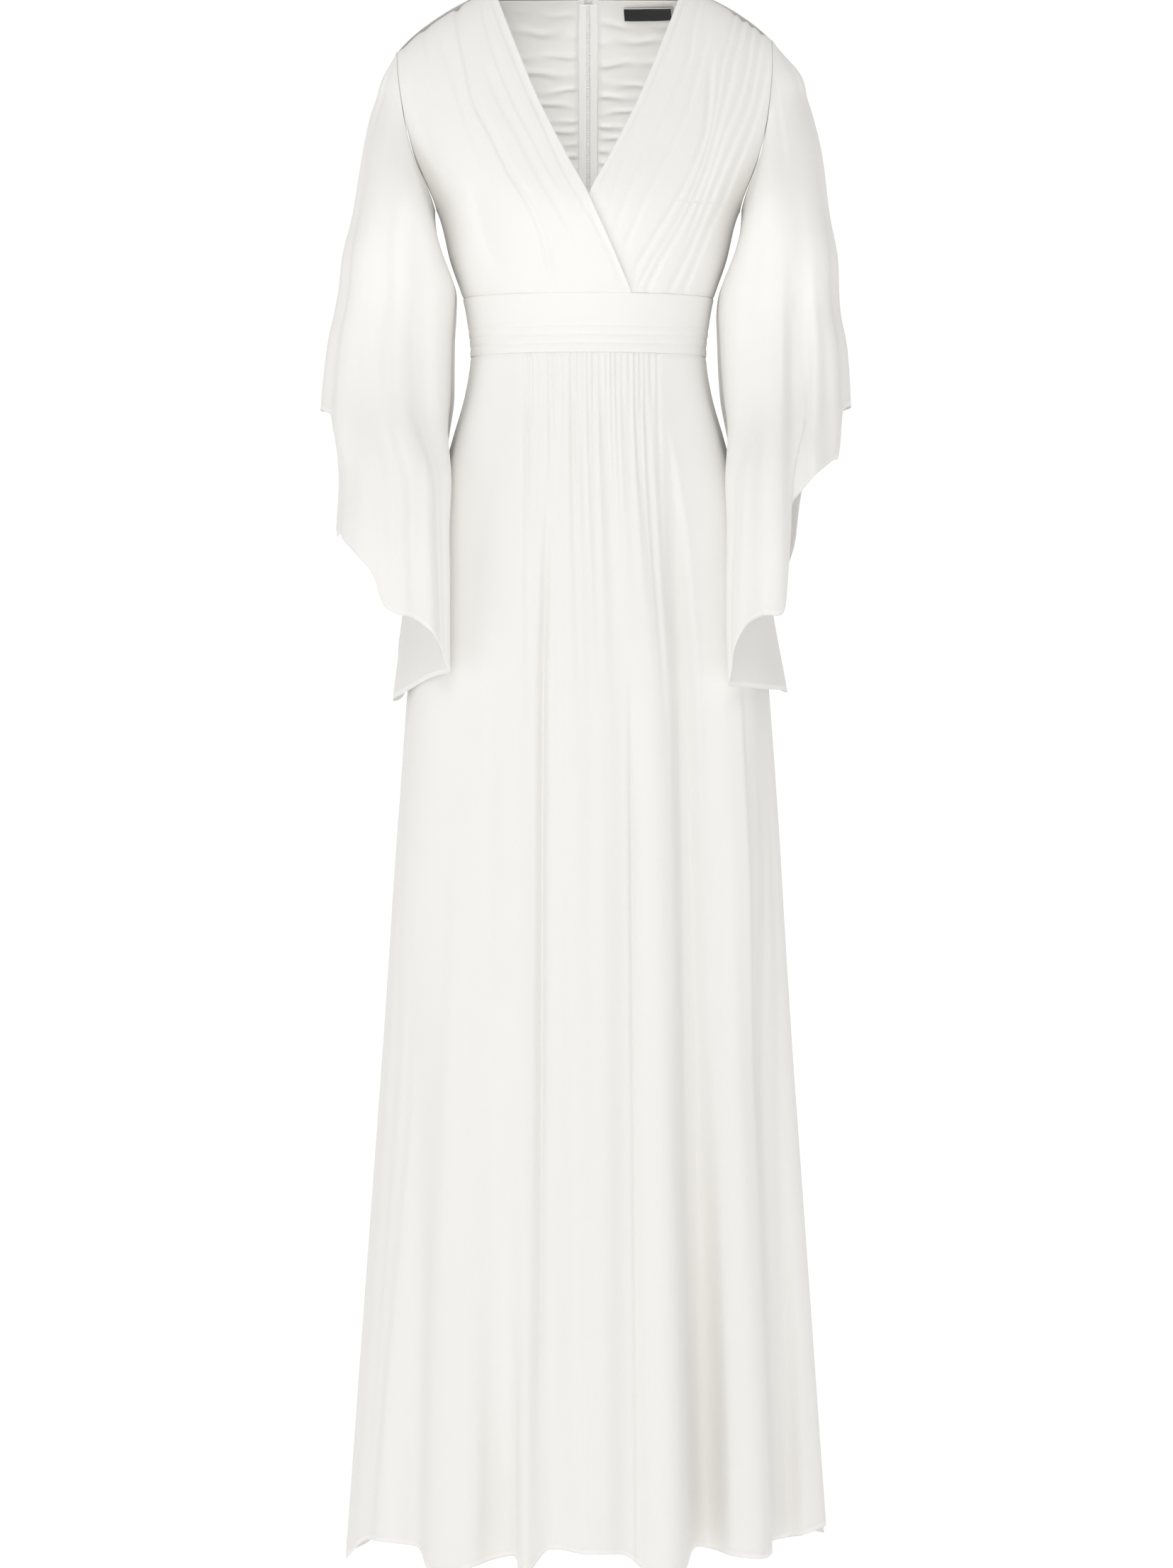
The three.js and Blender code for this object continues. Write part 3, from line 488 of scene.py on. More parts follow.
# ruches: how far down each lies, how far it stands in, how tall it is, where it starts and how it slopes
RUCHES = {
    "right": table("v deep tall start slope", [
        (0.060, 1.1, 0.014, 0.66, 0.05), (0.128, 1.6, 0.016, 0.58, 0.11), (0.190, 1.2, 0.013, 0.70, -0.03),
        (0.245, 1.8, 0.014, 0.60, 0.06), (0.300, 1.3, 0.011, 0.72, -0.02), (0.345, 1.7, 0.011, 0.64, 0.05),
        (0.392, 1.4, 0.010, 0.70, 0.00), (0.432, 1.8, 0.010, 0.62, 0.04), (0.470, 1.5, 0.009, 0.70, -0.03),
        (0.508, 1.8, 0.010, 0.60, 0.02), (0.548, 1.4, 0.009, 0.66, 0.04), (0.588, 1.7, 0.010, 0.62, -0.02),
        (0.632, 1.4, 0.011, 0.68, 0.03), (0.680, 1.8, 0.011, 0.60, 0.01), (0.728, 1.3, 0.011, 0.66, -0.03),
        (0.780, 1.7, 0.012, 0.60, 0.04), (0.835, 1.3, 0.012, 0.68, 0.00), (0.890, 1.6, 0.012, 0.62, 0.03),
    ]),
    "left": table("v deep tall start slope", [
        (0.085, 1.3, 0.014, 0.62, -0.04), (0.150, 1.5, 0.015, 0.60, 0.08), (0.215, 1.7, 0.014, 0.66, 0.03),
        (0.270, 1.2, 0.012, 0.70, -0.05), (0.322, 1.8, 0.012, 0.60, 0.04), (0.368, 1.4, 0.010, 0.70, 0.06),
        (0.410, 1.8, 0.010, 0.64, -0.02), (0.452, 1.4, 0.009, 0.68, 0.05), (0.490, 1.8, 0.010, 0.60, 0.00),
        (0.530, 1.5, 0.009, 0.70, 0.03), (0.570, 1.7, 0.010, 0.62, -0.03), (0.612, 1.3, 0.010, 0.66, 0.04),
        (0.656, 1.8, 0.011, 0.60, 0.02), (0.706, 1.4, 0.011, 0.68, -0.02), (0.756, 1.7, 0.012, 0.62, 0.03),
        (0.810, 1.3, 0.012, 0.66, 0.00), (0.862, 1.6, 0.012, 0.60, 0.04), (0.918, 1.2, 0.012, 0.66, 0.02),
    ]),
}


def lining_rise(side):
    def rise(share, v):
        clear = LINING["inset"] + LINING["clear"] * (1 - ease(0.1, 0.8, v))
        out = np.zeros(share.shape)
        for k, (level, deep, tall, start, slope) in enumerate(each(RUCHES[side])):
            drop = v - level - slope * (share - 0.9)
            drop += 0.005 * np.sin(share * 13 + k * 2.1) + 0.0025 * np.sin(share * 37 + k * 1.3)
            uneven = 0.75 + 0.45 * np.sin(share * 24 + k * 2.7)
            drawn = ease(start - 0.22, start + 0.12, share)
            out += deep * uneven * drawn * np.exp(-((drop / tall / (1.1 - 0.4 * uneven)) ** 2))
        tucked = ease(0.935, 0.968, share)
        return mix(-clear - out, -LINING["under_tape"], tucked)

    return rise


# roughness of a finish, which goes from `smooth` to `rough` as `value` goes from 0 to 1
def glossed(nodes, links, shader, value, smooth, rough):
    gloss = nodes.new("ShaderNodeMapRange")
    set_sockets(gloss, {"To Min": smooth, "To Max": rough})
    links.new(value, gloss.inputs["Value"])
    links.new(gloss.outputs["Result"], shader.inputs["Roughness"])


def satin_cloth():
    values = {"Specular IOR Level": 0.7, "Sheen Weight": 0.1}
    satin, nodes, links, shader = new_finish("ivory_satin_lining", values)
    # threads that float over several others, long one way and narrow the other
    stretch = nodes.new("ShaderNodeMapping")
    stretch.inputs["Scale"].default_value = (90, 900, 1)
    links.new(cloth_place(nodes), stretch.inputs["Vector"])
    floats = pattern(nodes, links, "Noise", stretch.outputs["Vector"], {"Scale": 4, "Detail": 3})
    coloured(nodes, links, shader, floats, ((0.86, 0.845, 0.81), (0.92, 0.905, 0.875)))
    glossed(nodes, links, shader, floats, 0.25, 0.38)
    raised(nodes, links, shader, floats, 0.2, 0.0001)
    return satin


SATIN = satin_cloth()
for side in ("right", "left"):
    piece = cloth_sheet(
        f"ruched_lining_{side}", back_surface(side), lining_rise(side),
        np.linspace(LINING["side"], LINING["end"], 61), np.linspace(LINING["top"], LINING["bottom"], 221),
        -MIRROR[side], LINING["wall"])
    sew_on(
        piece, SATIN, f"back_lining_{side}")

# ---------------------------------------------------------------- waistband
# A shaped band in three parts, smooth above, with four narrow tucks sewn across its lower half.
# The front part runs from side seam to side seam, and the back parts end at the zip.

WAIST = -363.0
# depth of the figure where the side seams of the band lie, which gives the turn of their clearance
BAND_DEPTH = 95.0
BAND_LAP = 1.4
# section down the band: how far it stands out at each height
BAND_ROWS = table("z out", [
    (BAND_TOP + BAND_LAP, -0.1), (-306.4, 0.25), (-308, 0.4), (-320, 0.6), (-330, 0.5), (-334, 0.5),
    (-336, 0.3), (-337.2, -0.1), (-338.4, 0.3), (-341, 0.6), (-344, 0.35), (-345.3, -0.15), (-346.6, 0.3),
    (-349.5, 0.65), (-352.4, 0.35), (-353.8, -0.15), (-355.2, 0.3), (-358.5, 0.6), (-361.4, 0.4),
    (WAIST, 0),
])
PUCKER = 0.10
SAG = 0.2
# share of its flat size that the cut of a band part takes up
BAND_CUT = 0.98


def band_surface(first, last, slit):
    def surface(share, down):
        point = figure_point(mix(first, last, share), -down)
        point[..., 0] += slit
        return point

    return surface


# `down` is the height below the origin; the tucks pucker a little, and the smooth part sags a little
def band_rise(share, down):
    pucker = PUCKER * np.sin(share * 151 + down * 0.35) * np.sin(share * 57 + 1.3) * ease(328, 340, down)
    sag = SAG * np.sin(share * 9.4 + 0.7) * np.sin((down + BAND_TOP) / (BAND_TOP - WAIST) * np.pi)
    return np.interp(down, -BAND_ROWS["z"], BAND_ROWS["out"]) + pucker + sag


gap = math.degrees(SEAM / 2 / BAND_DEPTH)
band_levels = np.concatenate([-BAND_ROWS["z"], np.linspace(306.4, 336, 14), np.linspace(336, 363, 55)])
band_levels = np.unique(band_levels)
for name, node, first, last, slit, columns, flat in (
    ("tucked_band_front", "waistband_front", -90 + gap, 90 - gap, 0, 161, (0.36, 0.065)),
    ("tucked_band_back_left", "waistband_back_left", 90 + gap, 180, ZIP_SLIT, 81, (0.18, 0.065)),
    ("tucked_band_back_right", "waistband_back_right", -180, -90 - gap, -ZIP_SLIT, 81, (0.18, 0.065)),
):
    piece = cloth_sheet(
        name, band_surface(first, last, slit), band_rise, np.linspace(0, 1, columns), band_levels,
        -1, CHIFFON_THICK)
    area = flat[0] * flat[1] * BAND_CUT
    sew_on(piece, CHIFFON, node)

# ---------------------------------------------------------------- skirt
# One wide front panel and two back panels. Each is gathered under the band at its middle, fans out
# over the hip and falls in deep soft folds to a hem that dips where a fold stands forward.

HIP = -700.0
HEM = -1522.0
SKIRT_TOP = WAIST - SEAM
FAN_END = -820.0
# gathers: how deep the small ones are, how deep where they have run together, and how much they spread
GATHER_DEPTH = 2.3
RUN_TOGETHER = 3.0
GATHER_SPREAD = 0.16
# folds: degrees round at hip and hem, how far each stands out, its width in degrees, the height
# where it starts and how much lower its hem hangs
SKIRT_FOLDS = table("hip hem out wide start drop", [
    (-84, -88, 7, 11, -800, 26), (-60, -60, 5, 8, -700, 0), (-53, -50, -14, 6, -1050, 0),
    (-47, -35, 14, 8, -560, 24), (-28, -21.5, -18, 4.2, -1000, 4), (-20, -15, 9, 2.6, -1300, 20),
    (-15.5, -8, -14, 4.2, -440, -4), (-4, -1, 5, 7, -400, 0), (13.2, 11.2, -9, 3.4, -640, 0),
    (21, 18.4, 20, 5.6, -480, 26), (34, 32, -10, 6, -400, 0), (52, 43, 16, 7, -460, 10),
    (68, 64, -24, 7.5, -520, 0), (80, 80, 8, 7, -760, -10), (96, 94, -10, 7, -900, -8),
    (112, 109, 15, 8, -600, 10), (126, 123, -20, 7, -520, 0), (138, 136, 16, 7, -480, 12),
    (151, 149, -18, 6, -500, 0), (163, 161, 14, 6, -560, 8), (174, 173, -16, 5, -620, 2),
    (184, 185, 13, 5, -620, 8), (195, 197, -18, 6, -500, 0), (208, 210, 17, 7, -480, 12),
    (222, 224, -21, 7, -540, 0), (237, 239, 15, 8, -600, 10), (254, 256, -12, 7, -850, 6),
])
# smaller ridges and troughs on them: the same, with the height where each dies out
SKIRT_CREASES = table("hip hem out wide start stop", [
    (-59, -58, 12, 10, -290, -1100), (59, 58, 12, 10, -290, -1100), (-72, -74, 2.5, 3, -620, -1700),
    (-55, -66, -2, 2, -900, -1700), (-40, -40, 2, 2.5, -700, -1300), (-31, -28, -1.5, 2.2, -560, -1150),
    (-24.5, -24, 1.5, 2.2, -900, -1700), (-12.5, -9.5, 2, 1.8, -440, -1250),
    (-8, -5.2, -1.4, 1.6, -560, -1350), (0.5, 1, -1.4, 2, -480, -1100), (4.5, 4, 1.6, 1.9, -700, -1700),
    (14.6, 13.6, 2.4, 1.6, -820, -1700), (26, 23.6, 1.8, 1.8, -520, -1200),
    (31.5, 26.6, -2.5, 1.6, -600, -1700), (39, 36, -2, 2.2, -540, -1700), (46, 39.5, 2, 2.4, -600, -1400),
    (58.5, 49, -2, 2, -640, -1700), (73, 64, 3, 2.4, -700, -1700), (86, 83, -3, 2.4, -820, -1700),
    (103, 101, 3, 2.4, -640, -1700), (119, 116, -3, 2, -560, -1500), (132, 130, 2.5, 1.6, -560, -1700),
    (144.5, 143, -3, 1.4, -520, -1400), (157, 155.5, 2.5, 1.6, -600, -1700),
    (168.5, 167.5, -3, 1.2, -640, -1500), (179, 179, 2, 1.6, -680, -1700), (190, 191, -3, 1.2, -560, -1450),
    (201.5, 203.5, 2.5, 1.6, -560, -1700), (215.5, 217.5, -3, 1.6, -520, -1500),
    (230, 232, 3, 1.8, -620, -1700), (246, 248, -3, 2.2, -700, -1600), (263, 264, 3, 2.6, -760, -1700),
])
# folded edges: one side drops steeply and the other comes up slowly over `soft` degrees
SKIRT_EDGES = table("hip hem deep steep soft start stop", [
    (-15, -12.8, 6.5, 1, 1.6, -440, -1560), (-14.6, -12.4, 3, 1.2, 6, -440, -1560),
    (13.4, 12.4, 5, 1, 1.6, -640, -1900), (13.8, 12.8, 3, 1.2, 6, -640, -1900),
    (35, 33.6, 15, 7.5, 1.6, -420, -1900), (54, 51, 9, 1.8, 9, -600, -1900),
    (22, 24, 4, 1.2, 5, -410, -760), (-19.8, -18.6, 7, 2.6, 0.8, -1300, -1900),
])
# deep recesses between the folds near the hem: distance from the middle at the knee and the hem, how far
# back the cloth goes, half its width and the height where it starts
SKIRT_RECESSES = table("knee hem back wide start", [
    (100, 113, 34, 17, -900), (174, 190, 22, 15, -1000), (-84, -88, 14, 14, -1250),
    (-186, -199, 10, 22, -1250),
])
# stretches of a panel: length of each along its line `u`, whether it is gathered, and the turns where it
# ends at the band and below the hip
SKIRT_FRONT = table("long gathers band hip", [
    (0, 0, -90, -90), (8, 0, -36, -62), (46, 1, 37, 62), (8, 0, 90, 90),
])
SKIRT_BACK = table("long gathers band hip", [(0, 0, 90, 90), (8, 0, 134, 118), (18, 1, 180, 180)])
# gathers under the band, each a small pleat: the edges of the gathered stretch and the pitch
GATHERS = {"front": (-64.0, 68.0, 5.6), "back": (18.0, 66.0, 5.8)}


def round_turn(turn):
    return (turn + 180) % 360 - 180


def folds_at(turn, z):
    out = np.zeros(np.broadcast(turn, z).shape)
    lower = np.clip((HIP - z) / (HIP - HEM), -0.3, 1.1)

    def off(hip, hem):
        return round_turn(turn - mix(hip, hem, lower))

    for hip, hem, stands, wide, start, drop in each(SKIRT_FOLDS):
        grown = np.clip((start - z) / (start - HEM), 0, 1.05) ** 0.75
        out += stands * grown * soft_bump(off(hip, hem), wide)
    for hip, hem, stands, wide, start, stop in each(SKIRT_CREASES):
        out += stands * between(start, stop, z, 260, 260) * soft_bump(off(hip, hem), wide)
    for hip, hem, deep, steep, soft, start, stop in each(SKIRT_EDGES):
        out -= deep * between(start, stop, z, 200, 300) * crease(off(hip, hem), soft, steep)
    return out


def hem_at(turn):
    z = np.full(np.shape(turn), HEM)
    for hip, hem, stands, wide, start, drop in each(SKIRT_FOLDS):
        z -= drop * soft_bump(round_turn(turn - hem), wide)
    return z


# turn of the line `u` of a panel at a height: the lines fan out between the band and the hip
def panel_turn(stretches, u, z):
    ends = np.cumsum(stretches["long"])
    k = np.clip(np.searchsorted(ends, u, side="left"), 1, len(ends) - 1)
    t = (u - ends[k - 1]) / stretches["long"][k]
    band, hip = stretches["band"], stretches["hip"]
    return mix(mix(band[k - 1], band[k], t), mix(hip[k - 1], hip[k], t), ease(SKIRT_TOP, FAN_END, z))


def skirt_surface(stretches, mirror, slit):
    def surface(u, v):
        turn = panel_turn(stretches, u, mix(SKIRT_TOP, HEM, v))
        z = mix(SKIRT_TOP, hem_at(mirror * turn), v)
        edge = np.where(np.abs(np.abs(turn) - 90) < 0.01, SEAM / 2, 0)
        point = figure_point(mirror * turn, z)
        point[..., 1] += np.where(np.abs(turn) <= 90, -edge, edge)
        point[..., 0] += mirror * slit
        return point

    return surface


def recess(u, v, points):
    x, z = points[..., 0], points[..., 2]
    for knee, hem, back, wide, start in each(SKIRT_RECESSES):
        place = (x - mix(knee, hem, ease(-900, HEM, z))) / wide
        points[..., 1] += back * ease(start, HEM - 60, z) * np.exp(-place ** 4)
    return points


# small pleats hang straight down from the band, and run together in fewer, wider ones lower down
def gathers_at(place, x, z):
    first, last, pitch = GATHERS[place]
    across = first + (x - first) / (1 + GATHER_SPREAD * ease(SKIRT_TOP, FAN_END, z))
    inside = ease(first - 5, first + 3, across) * ease(last + 5, last - 3, across)
    count = (across - first) / pitch + 0.18 * np.sin(across * 0.23 + 1.0)
    number = np.floor(count)
    length = 70 + 90 * np.sin(number * 2.4 + 0.8) ** 2
    uneven = 0.75 + 0.4 * np.sin(number * 1.7 + 0.4)
    fine = (np.cos(2 * np.pi * count) - 1) / 2 * uneven * (1 - ease(-375, -375 - length * 1.5, z))
    pair = across / (pitch * 2.35) + 0.35 * np.sin(across * 0.11 + 0.6)
    broad = (np.cos(2 * np.pi * pair) - 1) / 2 * (0.8 + 0.3 * np.sin(np.floor(pair) * 2.1))
    broad *= ease(-385, -440, z) * (1 - ease(-470, -740 - 120 * np.sin(np.floor(pair) * 1.9), z))
    return (GATHER_DEPTH * fine + RUN_TOGETHER * broad) * inside


def skirt_rise(stretches, mirror):
    place = "front" if stretches is SKIRT_FRONT else "back"
    surface = skirt_surface(stretches, mirror, 0)

    def rise(u, v):
        turn = panel_turn(stretches, u, mix(SKIRT_TOP, HEM, v))
        z = mix(SKIRT_TOP, hem_at(mirror * turn), v)
        x = surface(u, v)[..., 0]
        sunk = ease(WAIST - 3, WAIST + 2, z)
        out = folds_at(mirror * turn, z) + gathers_at(place, x if place == "front" else np.abs(x), z)
        return out * (1 - sunk) - SUNK * sunk

    return rise


# mesh lines stand closer together where a folded edge drops steeply
CLOSE_LINES = np.concatenate([np.arange(-17.0, -12.4, 0.24), np.arange(11.6, 14.2, 0.24)])


def skirt_lines(stretches, plain, gathered):
    ends = np.cumsum(stretches["long"])
    parts = []
    for k in range(1, len(ends)):
        count = gathered if stretches["gathers"][k] else plain
        parts.append(np.linspace(ends[k - 1], ends[k], count, endpoint=False))
    if stretches is SKIRT_FRONT:
        first, last = stretches["hip"][1:3]
        parts.append(ends[1] + (ends[2] - ends[1]) * (CLOSE_LINES - first) / (last - first))
    return np.unique(np.concatenate(parts + [ends[-1:]]))


# mesh levels down the skirt, closer together at the top, with more at the tuck under the band and the hem
SKIRT_UP = TUCKED_UNDER / (HEM - WAIST)
depth = np.linspace(0, 1, 141)
SKIRT_LEVELS = np.append(mix(depth, depth ** 1.7, 0.6), (SKIRT_UP, SKIRT_UP / 2, 0.990, 0.9935, 0.9965))
SKIRT_LEVELS = np.unique(SKIRT_LEVELS)
for name, node, stretches, mirror, slit, plain, gathered, flat, area in (
    ("gathered_skirt_front", "skirt_front", SKIRT_FRONT, 1, 0, 32, 208, (0.98, 1.20), 0.80),
    ("gathered_skirt_back_left", "skirt_back_left", SKIRT_BACK, 1, ZIP_SLIT, 50, 84, (0.45, 1.20), 0.40),
    ("gathered_skirt_back_right", "skirt_back_right", SKIRT_BACK, -1, ZIP_SLIT, 50, 84, (0.45, 1.20), 0.40),
):
    piece = cloth_sheet(
        name, skirt_surface(stretches, mirror, slit), skirt_rise(stretches, mirror),
        skirt_lines(stretches, plain, gathered), SKIRT_LEVELS, -mirror, CHIFFON_THICK, finished="foot",
        slide=recess if node == "skirt_front" else None)
    sew_on(piece, CHIFFON, node)

# ---------------------------------------------------------------- sleeves
# Long flared sleeves in chiffon, set into the armholes. Each is short over the outside of the arm
# and long at the body side, so its hem falls in steps. The hem is narrow and machine rolled.

SLEEVE_RINGS = table("z near_right near_left far_right far_left ahead behind flat", [
    (-50, -34, -34, -20, -10, 16, 16, 1), (-80, -36, -36, -1, 8, 22, 20, 1),
    (-110, -34, -34, 7, 13, 27, 23, 1), (-160, -18, -18, 37, 45, 30, 26, 1.1),
    (-220, 3, 3, 84, 90, 29, 26, 1.2), (-290, 4, 4, 117, 119, 25, 24, 1.4),
    (-318, 12, 8, 130, 129, 23, 24, 1.5), (-360, 20, 15, 143, 141, 23, 24, 1.6),
    (-416, 14, 12, 139, 135, 28, 26, 1.6), (-480, 10, 10, 118, 118, 40, 28, 1.6),
    (-540, 14, 14, 110, 108, 45, 28, 1.6), (-620, 12, 13, 98, 92, 48, 26, 1.6),
    (-720, 14, 20, 82, 82, 51, 24, 1.6),
])
# hem height by degrees round the sleeve, from the outside of the arm by way of the front
SLEEVE_HEM = {
    "right": table("round z", [
        (-60, -560), (-34, -432), (-12, -414), (8, -418), (13, -432), (19, -532), (26, -541), (40, -578),
        (45, -612), (60, -624), (80, -650), (96, -672), (130, -680), (165, -698), (205, -699), (240, -668),
        (270, -610), (300, -560), (326, -432),
    ]),
    "left": table("round z", [
        (-60, -545), (-34, -430), (-12, -411), (8, -414), (13, -430), (18, -462), (29, -470), (43, -500),
        (51, -538), (56, -612), (64, -622), (80, -652), (96, -684), (130, -690), (165, -692), (205, -690),
        (240, -660), (270, -600), (300, -545), (326, -430),
    ]),
}
# folds: degrees round, how far each stands out at the hem, its width, and how far down it starts
SLEEVE_FOLDS = {
    "right": table("round out wide start", [
        (-22, 8, 12, 0), (14, -9, 7, 0), (32, 5, 9, 0), (52, -7, 7, 0), (68, 6, 7, 0), (88, -5, 8, 0),
        (215, 5, 14, 0), (250, -8, 12, 0), (280, 7, 12, 0), (308, -8, 10, 0), (24, -2.2, 3, 0.1),
        (41, -2.4, 3, 0.25), (60, 2.4, 3, 0.2), (78, -2.2, 4, 0.3), (232, -3, 5, 0.2), (264, 3, 5, 0.3),
        (295, -3, 4, 0.2), (-4, -2.5, 4, 0.15), (-38, -3, 5, 0.2),
    ]),
    "left": table("round out wide start", [
        (-22, 7, 12, 0), (12, -8, 7, 0), (34, 6, 9, 0), (72, 5, 9, 0), (88, -4, 8, 0), (215, 4, 14, 0),
        (250, -7, 12, 0), (280, 8, 12, 0), (308, -9, 10, 0), (22, -2.2, 3, 0.15), (42, 2.4, 3, 0.25),
        (62, 2.2, 3, 0.2), (78, -2.2, 4, 0.3), (232, -3, 5, 0.2), (264, 3, 5, 0.3), (295, -3, 4, 0.2),
        (-4, -2.5, 4, 0.15), (-38, -3, 5, 0.2),
    ]),
}
HEM_START = -60.0
# the sleeve head rounds over from the armhole within this share of the sleeve, this fast, and laps the
# armhole by this much
HEAD_END = 0.22
HEAD_POWER = 2.2
SLEEVE_LAP = 1.1
# deep folds down the front of a sleeve: distance from the middle at the top and the foot, how far back
# the cloth goes, half its width, how square it is and the heights where it starts and ends
SLEEVE_TUCKS = {
    "right": table("top foot back wide square start stop", [
        (196, 192, 2.5, 5, 2, -250, -620), (228, 232, 4, 11, 2, -260, -560),
        (158, 164, 3, 7, 2, -300, -650),
    ]),
    "left": table("top foot back wide square start stop", [
        (207, 204, 14, 12, 4, -250, -900), (172, 168, 3, 7, 2, -260, -900), (232, 236, 5, 8, 2, -260, -900),
    ]),
}
# the edge of the front layer is drawn out sideways at the hem
SLEEVE_EDGE = {"right": (0, 50.0), "left": (17, 57.0)}


# level direction straight out from the figure
def figure_out(turn, z):
    angle = np.radians(turn)
    x = figure_depth(turn, z) * np.sin(angle)
    y = -along(FIGURE, "z", "wide", z) * np.cos(angle)
    out = np.stack(np.broadcast_arrays(x, y, z * 0.0), -1)
    return out / np.linalg.norm(out, axis=-1, keepdims=True)


def armhole_point(side, turned):
    z = mix(UNDERARM, SHOULDER_TIP[side], (1 + np.cos(np.radians(turned))) / 2)
    v = (SHOULDER_TIP[side] - z) / (SHOULDER_TIP[side] - BAND_TOP)
    facing = -MIRROR[side]
    start = np.zeros(v.shape)
    front, back = front_surface(side), back_surface(side)
    on_front = front(start, v) + SLEEVE_LAP * outward(front, start, v, -facing)
    on_back = back(start, v) + SLEEVE_LAP * outward(back, start, v, facing)
    return mix(on_back, on_front, ease(-0.25, 0.25, np.sin(np.radians(turned)))[..., None])


def sleeve_surface(side):
    mirror = MIRROR[side]

    def surface(turned, v):
        angle = np.radians(turned)
        seam = armhole_point(side, turned)
        hem = along(SLEEVE_HEM[side], "round", "z", (turned - HEM_START) % 360 + HEM_START)
        z = mix(seam[..., 2], hem, v)

        def ring(column):
            return along(SLEEVE_RINGS, "z", column, z)

        opened = ((1 + np.cos(angle)) / 2) ** ring("flat")
        out = mix(ring("near_" + side), ring("far_" + side), opened)
        reach = np.where(np.sin(angle) > 0, ring("ahead"), ring("behind"))
        turn = mirror * (90 - reach * np.sin(angle))
        hanging = figure_point(turn, z) + figure_out(turn, z) * out[..., None]
        head = 1 - (1 - np.clip(v / HEAD_END, 0, 1)) ** HEAD_POWER
        point = mix(seam, hanging, head[..., None])
        point[..., 2] = z
        return point

    return surface


def sleeve_tucks(side):
    mirror = MIRROR[side]
    drawn, edge = SLEEVE_EDGE[side]

    def slide(turned, v, points):
        points[..., 0] += mirror * drawn * ease(0.5, 0.85, v) * soft_bump(round_turn(turned - edge), 6)
        x, z = mirror * points[..., 0], points[..., 2]
        front = ease(12, 26, turned) * ease(116, 100, turned)
        for top, foot, back, wide, square, start, stop in each(SLEEVE_TUCKS[side]):
            place = (x - mix(top, foot, ease(-250, -600, z))) / wide
            shown = between(start, stop, z, 160, 80) * front
            points[..., 1] += back * shown * np.exp(-np.abs(place) ** square)
        return points

    return slide


def sleeve_rise(side):
    def rise(turned, v):
        out = np.zeros(turned.shape)
        for middle, stands, wide, start in each(SLEEVE_FOLDS[side]):
            grown = ease(0.02 + start, 0.75 + start * 0.3, v)
            out += stands * grown * soft_bump(round_turn(turned - middle), wide)
        return out

    return rise


# mesh lines round a sleeve, closer together over the front, and its mesh levels
SLEEVE_ROUND = [np.arange(-54, -12, 2.6), np.arange(-12, 112, 1.0), np.arange(112, 306, 2.6)]
SLEEVE_ROUND = np.concatenate(SLEEVE_ROUND)
SLEEVE_LEVELS = np.linspace(0, 1, 101) ** 1.2
for side in ("right", "left"):
    piece = cloth_sheet(
        f"flared_sleeve_{side}", sleeve_surface(side), sleeve_rise(side), SLEEVE_ROUND, SLEEVE_LEVELS,
        MIRROR[side], CHIFFON_THICK, closed=True, finished="foot", slide=sleeve_tucks(side))
    sew_on(
        piece, CHIFFON, f"sleeve_{side}")

# ---------------------------------------------------------------- zip
# A light zip in the middle of the back, from the neck to the hip, sewn in behind the two edges. Its
# woven tape and nylon coil show inside the neck, and its slider and pull hang outside at the top.

TAPE_WIDTH = 19.0
TAPE_INSET = 4.1
TAPE_THICK = 0.7
TAPE_WALL = 1.0
ZIP_TOP = -5.0
ZIP_END = -470.0
COIL_PITCH = 1.6
COIL_WIDTH = 3.6
# a loop of the coil: places along it as shares of its width, its half thickness there and how far it
# bows in, and how far in from the tape its middle lies and how much it slants
COIL_LOOP = table("place thick bow", [
    (-0.5, 0.50, 0.0), (-0.38, 0.76, 0.15), (0, 0.80, 0.32), (0.38, 0.76, 0.15), (0.5, 0.50, 0.0),
])
COIL_SEAT = 0.7
COIL_SLANT = 0.14
COIL_SIDES = 6


def zip_surface(x, v):
    z = mix(ZIP_TOP, ZIP_END, v)
    turn = 180 - np.degrees(np.arcsin(x / along(FIGURE, "z", "wide", z)))
    return figure_point(turn, z, mix(BACK_NECK_DEPTH, 1, shoulder_roll(BACK_NECK - z, BACK_ROLL)))


# woven ribs near the edges of the tape and beside the coil
def tape_rise(x, v):
    ribs = 0
    for place, high in ((8.3, 0.16), (4.2, 0.12)):
        ribs = ribs + high * np.exp(-((np.abs(x) - place) / 0.5) ** 2)
    return -TAPE_INSET - ribs


def woven_tape():
    values = {"Roughness": 0.65, "Sheen Weight": 0.1}
    tape, nodes, links, shader = new_finish("woven_zip_tape", values)
    values = {"Scale": 420, "Distortion": 0.6}
    twill = pattern(nodes, links, "Wave", cloth_place(nodes), values, "DIAGONAL")
    coloured(nodes, links, shader, twill, ((0.91, 0.90, 0.87), (0.95, 0.94, 0.915)))
    raised(nodes, links, shader, twill, 0.3, 0.0002)
    return tape


piece = cloth_sheet(
    "zip_tape_cloth", zip_surface, tape_rise, np.linspace(-TAPE_WIDTH / 2, TAPE_WIDTH / 2, 39),
    np.linspace(0, 1, 161), 1, TAPE_THICK)
sew_on(
    piece, woven_tape(), "zip_tape")


